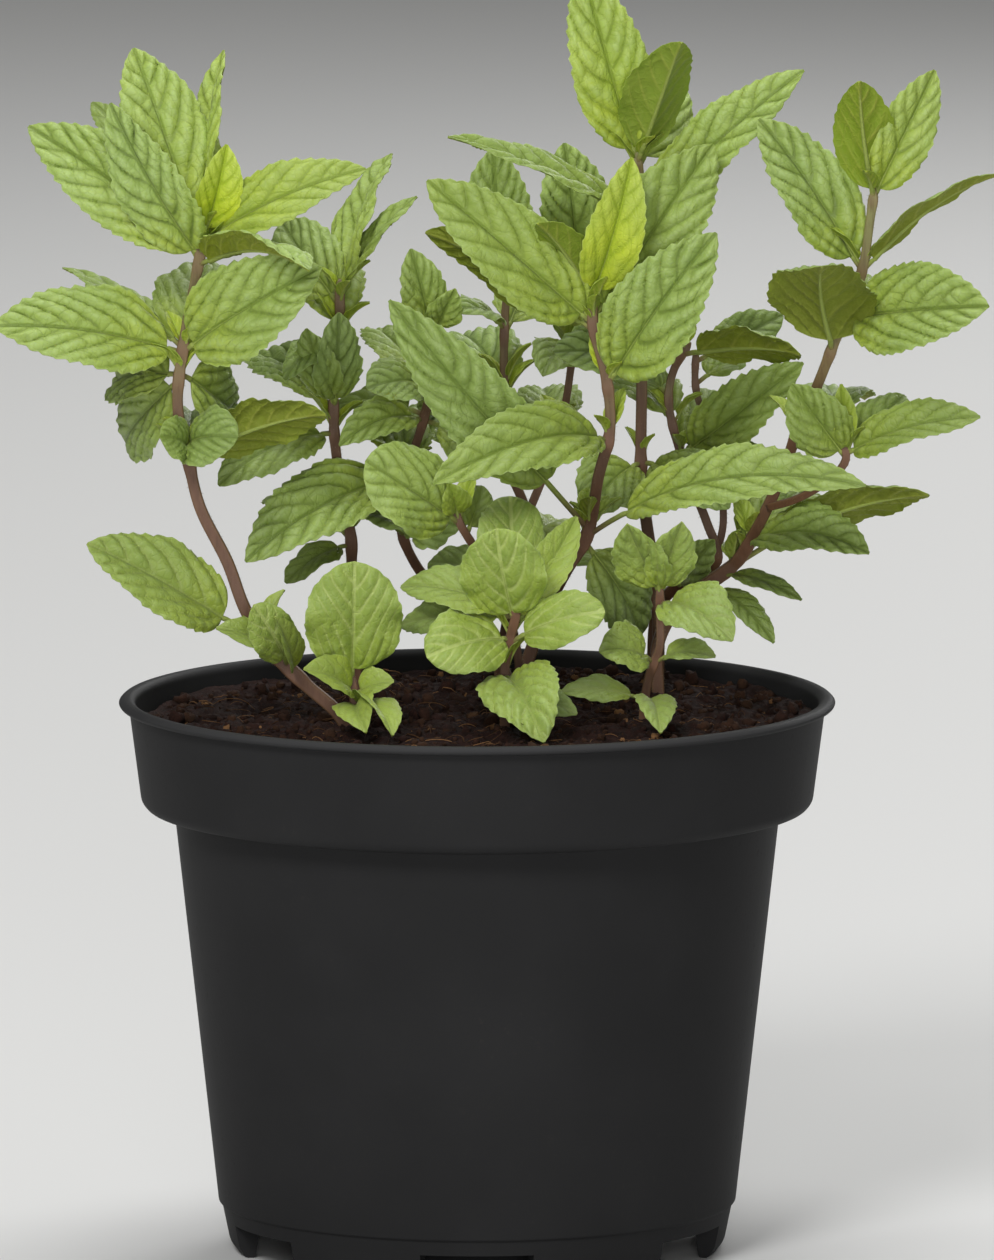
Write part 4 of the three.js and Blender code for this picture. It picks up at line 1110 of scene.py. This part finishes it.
class MINT_OT_pot(bpy.types.Operator):
    """Build the pot: a profile turned round the axis, with gaps in its foot and drain holes"""

    bl_idname = "mint.pot"
    bl_label = "Build pot"

    def profile(self, height, rim):
        """The pot's section from the middle of the underside round to the middle of the inside. Each corner
        is a radius, a height and how far from it the rounding starts."""
        p, wall = POT, POT["wall"]
        corners = [
            (p["disc"], 0, 0.5), (p["disc"] + 1.5, p["channel"], 0.5), (p["ring"] - 1, p["channel"], 0.4),
            (p["ring"], 0, 0.4), (p["foot"] - FOOT_SLOPE, 0, 0.4), (p["foot"], FOOT_RISE, 0.8),
            (p["foot"] + FOOT_SLOPE, p["groove"], 0.2), (p["waist"], p["groove"] + 0.4, 0.25),
            (p["shoulder"], p["step"], 0.5),
            (p["collar_bottom"] - 1, p["step"] + 0.8, 0.5), (p["collar_bottom"], p["collar_floor"], 0.8),
            (p["collar_top"], height - p["lip"], 0.25), (rim - 0.3, height - p["lip"] + 0.3, 0.3),
            (rim, height - p["lip"] / 2, 0.5), (rim - 0.8, height, 0.7), (p["collar_top"] - 0.4, height, 0.7),
            (p["collar_top"] - wall, height - 0.8, 0.5),
            (p["collar_bottom"] - wall, p["collar_floor"] + 0.6, 0.6),
            (p["shoulder"] - wall, p["step"] + wall, 0.6), (p["waist"] - wall, p["groove"] + 1, 0.4),
            (p["foot"] - 1.6, p["channel"] + wall, 0.4), (p["disc"] + 0.3, p["channel"] + wall, 0.4),
            (p["disc"] - wall, wall, 0.3),
        ]
        spots = np.array([(0, 0), *[c[:2] for c in corners], (0, wall)], float)
        cut = np.array([c[2] for c in corners])[:, None]
        back, ahead = spots[:-2] - spots[1:-1], spots[2:] - spots[1:-1]
        shorter = np.minimum(np.linalg.norm(back, axis=1), np.linalg.norm(ahead, axis=1))
        near = np.minimum(cut, 0.45 * shorter[:, None])
        first, last = spots[1:-1] + unit(back) * near, spots[1:-1] + unit(ahead) * near
        u = np.linspace(0, 1, 5)[:, None, None]
        arcs = first * (1 - u) ** 2 + 2 * spots[1:-1] * u * (1 - u) + last * u**2
        return arcs.transpose(1, 0, 2).reshape(-1, 2)

    def from_gap(self, turns, middles):
        """The angle from each turn to the middle of the nearest gap."""
        return np.abs((turns[:, None] - middles + pi) % (2 * pi) - pi).min(axis=1)

    def execute(self, context):
        pot = context.scene.mint_pot
        section = self.profile(pot.height / MM, pot.rim / MM)

        # Even turns round the axis, and a close pair at each side of a gap, which makes that side upright.
        open_half = asin(NOTCH["width"] / 2 / (POT["foot"] - 1))
        middles = around(NOTCH["count"]) - pi / 2
        turns = around(pot.sides) - pi
        turns = turns[np.abs(self.from_gap(turns, middles) - open_half) > 10 * NOTCH_EDGE]
        edges = (middles[:, None] + open_half * np.array([-1, 1])).ravel()
        pairs = np.concatenate([edges - NOTCH_EDGE, edges + NOTCH_EDGE])
        turns = np.sort((np.concatenate([turns, pairs]) + pi) % (2 * pi) - pi)
        cut = self.from_gap(turns, middles) < open_half

        # In a gap the foot ring is pushed up to the gap's height, and its outside back to the foot's slope.
        r = np.repeat(section[None, :, 0], len(turns), axis=0)
        z = np.repeat(section[None, :, 1], len(turns), axis=0)
        ring = (r > POT["ring"] - 1.2) & (z < NOTCH["height"]) & cut[:, None]
        outer = POT["foot"] + FOOT_SLOPE * (NOTCH["height"] - FOOT_RISE) / (POT["groove"] - FOOT_RISE)
        r = np.where(ring & (r > POT["foot"] - 0.6), outer, r)
        z = np.where(ring, NOTCH["height"], z)
        points = np.stack([r * np.cos(turns)[:, None], r * np.sin(turns)[:, None], z], axis=-1)
        shape = Shape()
        shape.add(points.transpose(1, 0, 2), ring_faces(len(section), len(turns)))
        body = shape.piece("pot_body", pot_material(pot), ["pot"], sharp=radians(38))
        self.drill(body)
        return {"FINISHED"}

    def drill(self, body):
        """Cuts the round drain holes through the floor of the channel."""
        plugs = Shape()
        for turn in around(DRAIN["count"], 0.5) - pi / 2:
            foot = np.array([cos(turn) * DRAIN["ring"], sin(turn) * DRAIN["ring"], POT["channel"]])
            path = foot + np.array([[0, 0, -1.0], [0, 0, 2.2]])
            side, lift = np.tile([1.0, 0, 0], (2, 1)), np.tile([0, 1.0, 0], (2, 1))
            plugs.add(*tube(path, side, lift, DRAIN["radius"], DRAIN["radius"], DRAIN["sides"]))
        cutter = plugs.piece("drain_plugs", body.data.materials[0])
        cut = body.modifiers.new("drain", "BOOLEAN")
        cut.operation, cut.object, cut.solver = "DIFFERENCE", cutter, "EXACT"
        mesh = bpy.data.meshes.new_from_object(body.evaluated_get(bpy.context.evaluated_depsgraph_get()))
        body.modifiers.clear()
        body.data = mesh
        bpy.data.objects.remove(cutter)


def soil_height(x, y, level):
    """The height of the soil: almost level, with slow waves, and a little higher on the right."""
    waves = 0.35 * np.sin(0.31 * x + 1.3) * np.cos(0.27 * y) + 0.25 * np.sin(0.17 * x - 0.23 * y)
    return level + waves + 0.008 * x


def soil_relief(x, y):
    """Clods and crumbs: smooth random heights at four sizes, the smaller ones sharper."""
    place = np.stack([x, y], axis=-1) + 200
    heights = 0.7 * noise(place, 7.5, 11) + 0.55 * noise(place, 3.1, 12)
    return heights + 0.42 * np.abs(noise(place, 1.45, 13)) * 1.6 + 0.2 * noise(place, 0.7, 14) - 0.45


class MINT_OT_soil(bpy.types.Operator):
    """Build the soil: a crumbly bed that fills the pot, loose crumbs and fibres"""

    bl_idname = "mint.soil"
    bl_label = "Build soil"

    def execute(self, context):
        soil = context.scene.mint_soil
        level, radius = soil.level / MM, soil.radius / MM
        material = soil_material(soil)
        draw = np.random.default_rng(SOIL_SEED)
        self.bed(level, radius, material)
        self.crumbs(level, radius, soil.crumbs, material, draw)
        self.fibres(level, radius, soil.fibres, material, draw)
        return {"FINISHED"}

    def bed(self, level, radius, material):
        """A closed body: rings up the inside of the pot, then inwards over the rough top."""
        p, inset = POT, POT["wall"] + GAP
        side = [
            (0.4, inset), (p["disc"] - inset, inset), (p["disc"], p["channel"] + inset),
            (p["foot"] - 1.6 - GAP, p["channel"] + inset), (p["waist"] - inset, p["groove"] + 1),
            (p["shoulder"] - inset, p["step"] + inset),
            (p["collar_bottom"] - inset, p["collar_floor"] + 0.6 + GAP), (radius, level - 1.5),
        ]
        inwards = radius * np.linspace(1, 0.004, 150) ** 0.9
        rings = np.array(side + [(r, 0) for r in inwards])
        angle = around(SOIL_SIDES)
        x, y = rings[:, :1] * np.cos(angle), rings[:, :1] * np.sin(angle)
        top = np.arange(len(rings))[:, None] >= len(side)
        fade = 1 - 0.6 * smooth(radius - 3, radius, np.hypot(x, y))
        z = np.where(top, soil_height(x, y, level) + soil_relief(x, y) * fade, rings[:, 1:])
        shape = Shape("tone")
        shape.add(np.stack([x, y, z], axis=-1), ring_faces(len(rings), SOIL_SIDES))
        shape.piece("soil_bed", material, ["soil"])

    def scatter(self, count, radius, draw):
        """Points spread evenly over a disc."""
        far = radius * np.sqrt(draw.uniform(0, 1, count))
        turn = draw.uniform(0, 2 * pi, count)
        return far * np.cos(turn), far * np.sin(turn)

    def crumbs(self, level, radius, count, material, draw):
        """Lumps: small balls, with each of their points pushed in or out at random."""
        rings, sides = LUMP
        x, y = self.scatter(count, radius - 1.4, draw)
        size = draw.gamma(2.2, 0.26, count).clip(0.22, 1.7)
        z = soil_height(x, y, level) + soil_relief(x, y) + 0.25 * size
        tilt = (np.arange(1, rings + 1) / (rings + 1) * pi)[:, None]
        turn = around(sides)
        ball = np.broadcast_arrays(np.sin(tilt) * np.cos(turn), np.sin(tilt) * np.sin(turn), np.cos(tilt))
        ball = np.stack(ball, axis=-1)
        push = draw.uniform(0.62, 1.2, (count, rings, sides, 1)) * draw.uniform(0.6, 1.25, (count, 1, 1, 3))
        points = np.stack([x, y, z], axis=-1)[:, None, None] + ball * push * size[:, None, None, None]
        faces = [part[:, ::-1] for part in ring_faces(rings, sides)]
        rare, pale, plain = (draw.uniform(*span, count) for span in ((0, 1), (0.2, 0.8), (0, 0.08)))
        tone = np.where(rare > 0.96, pale, plain)
        shape = Shape("tone")
        shape.add(points, copied_faces(faces, rings * sides, count), tone=np.repeat(tone, rings * sides))
        shape.piece("soil_crumbs", material)

    def fibres(self, level, radius, count, material, draw):
        """Thin roots and peat threads: short arcs that lie on the crumbs, each a thin tube with few sides."""
        rings, sides = THREAD
        x, y = self.scatter(count, radius - 4, draw)
        turn = draw.uniform(0, 2 * pi, count)[:, None]
        long = draw.gamma(2.4, 1.2, count).clip(1.2, 8)[:, None]
        curl = draw.normal(0, 1.1, count)[:, None]
        u = np.linspace(-0.5, 0.5, rings)
        px = x[:, None] + long * u * np.cos(turn + curl * u)
        py = y[:, None] + long * u * np.sin(turn + curl * u)
        hop = (draw.uniform(0.1, 0.9, count)[:, None] * long * 0.22) * (1 - 4 * u**2)
        pz = soil_height(px, py, level) + np.maximum(soil_relief(px, py), -0.1) + hop
        path = np.stack([px, py, pz], axis=-1)
        along = unit(np.gradient(path, axis=1))
        side = unit(np.cross(along, (0.05, 0.02, 1)))
        up = np.cross(side, along)
        thick = (draw.uniform(0.045, 0.12, count)[:, None] * (1 - 1.2 * np.abs(u) ** 2))[..., None, None]
        angle = around(sides)
        ring = side[:, :, None] * np.cos(angle)[:, None] + up[:, :, None] * np.sin(angle)[:, None]
        points = path[:, :, None] + ring * thick
        tone = draw.uniform(0.05, 0.9, count) ** 1.6
        faces = copied_faces(ring_faces(rings, sides), rings * sides, count)
        shape = Shape("tone")
        shape.add(points, faces, tone=np.repeat(tone, rings * sides))
        shape.piece("soil_fibres", material)


class MINT_OT_shoots(bpy.types.Operator):
    """Build the leafy shoots: for each, its square stems with their hairs, and its leaves"""

    bl_idname = "mint.shoots"
    bl_label = "Build shoots"

    def execute(self, context):
        leaves, stems = context.scene.mint_leaf, context.scene.mint_stem
        leaf_finish, stem_finish = leaf_material(leaves), stem_material(stems)
        for number, (name, rows) in enumerate(SHOOTS.items()):
            draw = np.random.default_rng(SHOOT_SEED + number)
            stalks = Shape("share", "knot", "ridge", "hair")
            blades = Shape(*BLADE_VALUES)
            for each in rows:
                add_stem(stalks, each, stems.hair / MM, draw)
                for row in each["leaves"] + sprouts(each, draw):
                    root = stem_point(each["points"], row["at"])
                    add_leaf(blades, row, root, leaves.thickness / MM, leaves.quilting, draw)
            short = name.removeprefix("shoot_")
            stalks.piece("stems_" + short, stem_finish, [name])
            blades.piece("leaves_" + short, leaf_finish, [name], uv=("u", "v"), sharp=radians(60))
        return {"FINISHED"}


FLOOR_HALF = 40.0  # metres
CAMERA_TARGET = np.array([3.6, 0, 113.2]) * MM
# Lamps: where each stands in metres, the height on the axis that it points at, its size and its power.
LAMPS = {
    "key": ((-0.6, -1.6, 1.4), 0.13, 0.7, 24),
    "fill": ((0.1, -2.2, 0.35), 0.08, 0.6, 13),
    "top": ((0.1, 0.3, 1.7), 0.1, 1.0, 15),
    "rear": ((0.6, 1.6, 0.9), 0.14, 0.9, 8),
}
SKY, SKY_POWER = (1, 1, 0.98, 1), 0.16


class MINT_OT_stage(bpy.types.Operator):
    """Build the stage: a pale floor, soft lights and the camera"""

    bl_idname = "mint.stage"
    bl_label = "Build stage"

    def lamp(self, name, place, target, size, power):
        """A round lamp that points at a target."""
        data = bpy.data.lights.new(name, "AREA")
        data.shape, data.size, data.energy = "DISK", size, power
        lamp = bpy.data.objects.new(name, data)
        lamp.location = place
        lamp.rotation_euler = look(place, target)
        bpy.context.scene.collection.objects.link(lamp)

    def execute(self, context):
        stage = context.scene.mint_stage
        mesh = bpy.data.meshes.new("floor")
        corners = [(x * FLOOR_HALF, y * FLOOR_HALF, 0) for x, y in ((-1, -1), (1, -1), (1, 1), (-1, 1))]
        mesh.from_pydata(corners, [], [(0, 1, 2, 3)])
        tree = Tree("floor")
        cloud = tree.speckle(tree.place(), 0.002, 2)
        colour = tree.mix(cloud * 0.3, stage.floor, shades(stage.floor, 0.97))
        mesh.materials.append(tree.finish(Base_Color=colour, Roughness=0.7, Specular_IOR_Level=0.2))
        floor = bpy.data.objects.new("floor", mesh)
        context.scene.collection.objects.link(floor)
        place = CAMERA_TARGET + stage.distance * np.array([0, -cos(stage.elevation), sin(stage.elevation)])
        data = bpy.data.cameras.new("camera")
        data.sensor_fit, data.sensor_height, data.sensor_width, data.lens = "VERTICAL", 36, 36, stage.lens
        data.clip_end = 100
        camera = bpy.data.objects.new("camera", data)
        camera.location, camera.rotation_euler = place, look(place, CAMERA_TARGET)
        context.scene.collection.objects.link(camera)
        context.scene.camera = camera
        for name, (spot, height, size, power) in LAMPS.items():
            self.lamp(name, spot, (0, 0, height), size, power * stage.light)
        world = bpy.data.worlds.new("studio")
        world.use_nodes = True
        sky = world.node_tree.nodes["Background"].inputs
        sky[0].default_value, sky[1].default_value = SKY, SKY_POWER * stage.light
        context.scene.world = world
        context.scene.view_settings.view_transform = "Standard"
        return {"FINISHED"}


def look(place, target):
    """The turn that points a lamp or a camera from its place at a target."""
    away = np.asarray(target, float) - np.asarray(place, float)
    return (pi / 2 + atan2(away[2], np.hypot(away[0], away[1])), 0, atan2(-away[0], away[1]))


class MINT_PT_panel(bpy.types.Panel):
    """The builders, in the sidebar"""

    bl_label = "Mint"
    bl_idname = "MINT_PT_panel"
    bl_space_type = "VIEW_3D"
    bl_region_type = "UI"
    bl_category = "Mint"

    def draw(self, context):
        for group, operator in zip(GROUPS, OPERATORS):
            box = self.layout.box()
            for key in GROUPS[group].__annotations__:
                box.prop(getattr(context.scene, group), key)
            if operator:
                box.operator(operator.bl_idname)


GROUPS = {
    "mint_pot": MintPotSettings,
    "mint_soil": MintSoilSettings,
    "mint_leaf": MintLeafSettings,
    "mint_stem": MintStemSettings,
    "mint_stage": MintStageSettings,
}
OPERATORS = (MINT_OT_pot, MINT_OT_soil, MINT_OT_shoots, MINT_OT_stage)


def register():
    for group in (*GROUPS.values(), *OPERATORS, MINT_PT_panel):
        bpy.utils.register_class(group)
    for name, group in GROUPS.items():
        setattr(bpy.types.Scene, name, bpy.props.PointerProperty(type=group))


def unregister():
    for name in GROUPS:
        delattr(bpy.types.Scene, name)
    for group in (MINT_PT_panel, *OPERATORS, *GROUPS.values()):
        bpy.utils.unregister_class(group)


def main():
    register()
    bpy.ops.mint.pot()
    bpy.ops.mint.soil()
    bpy.ops.mint.shoots()
    bpy.ops.mint.stage()


if __name__ == "__main__":
    main()
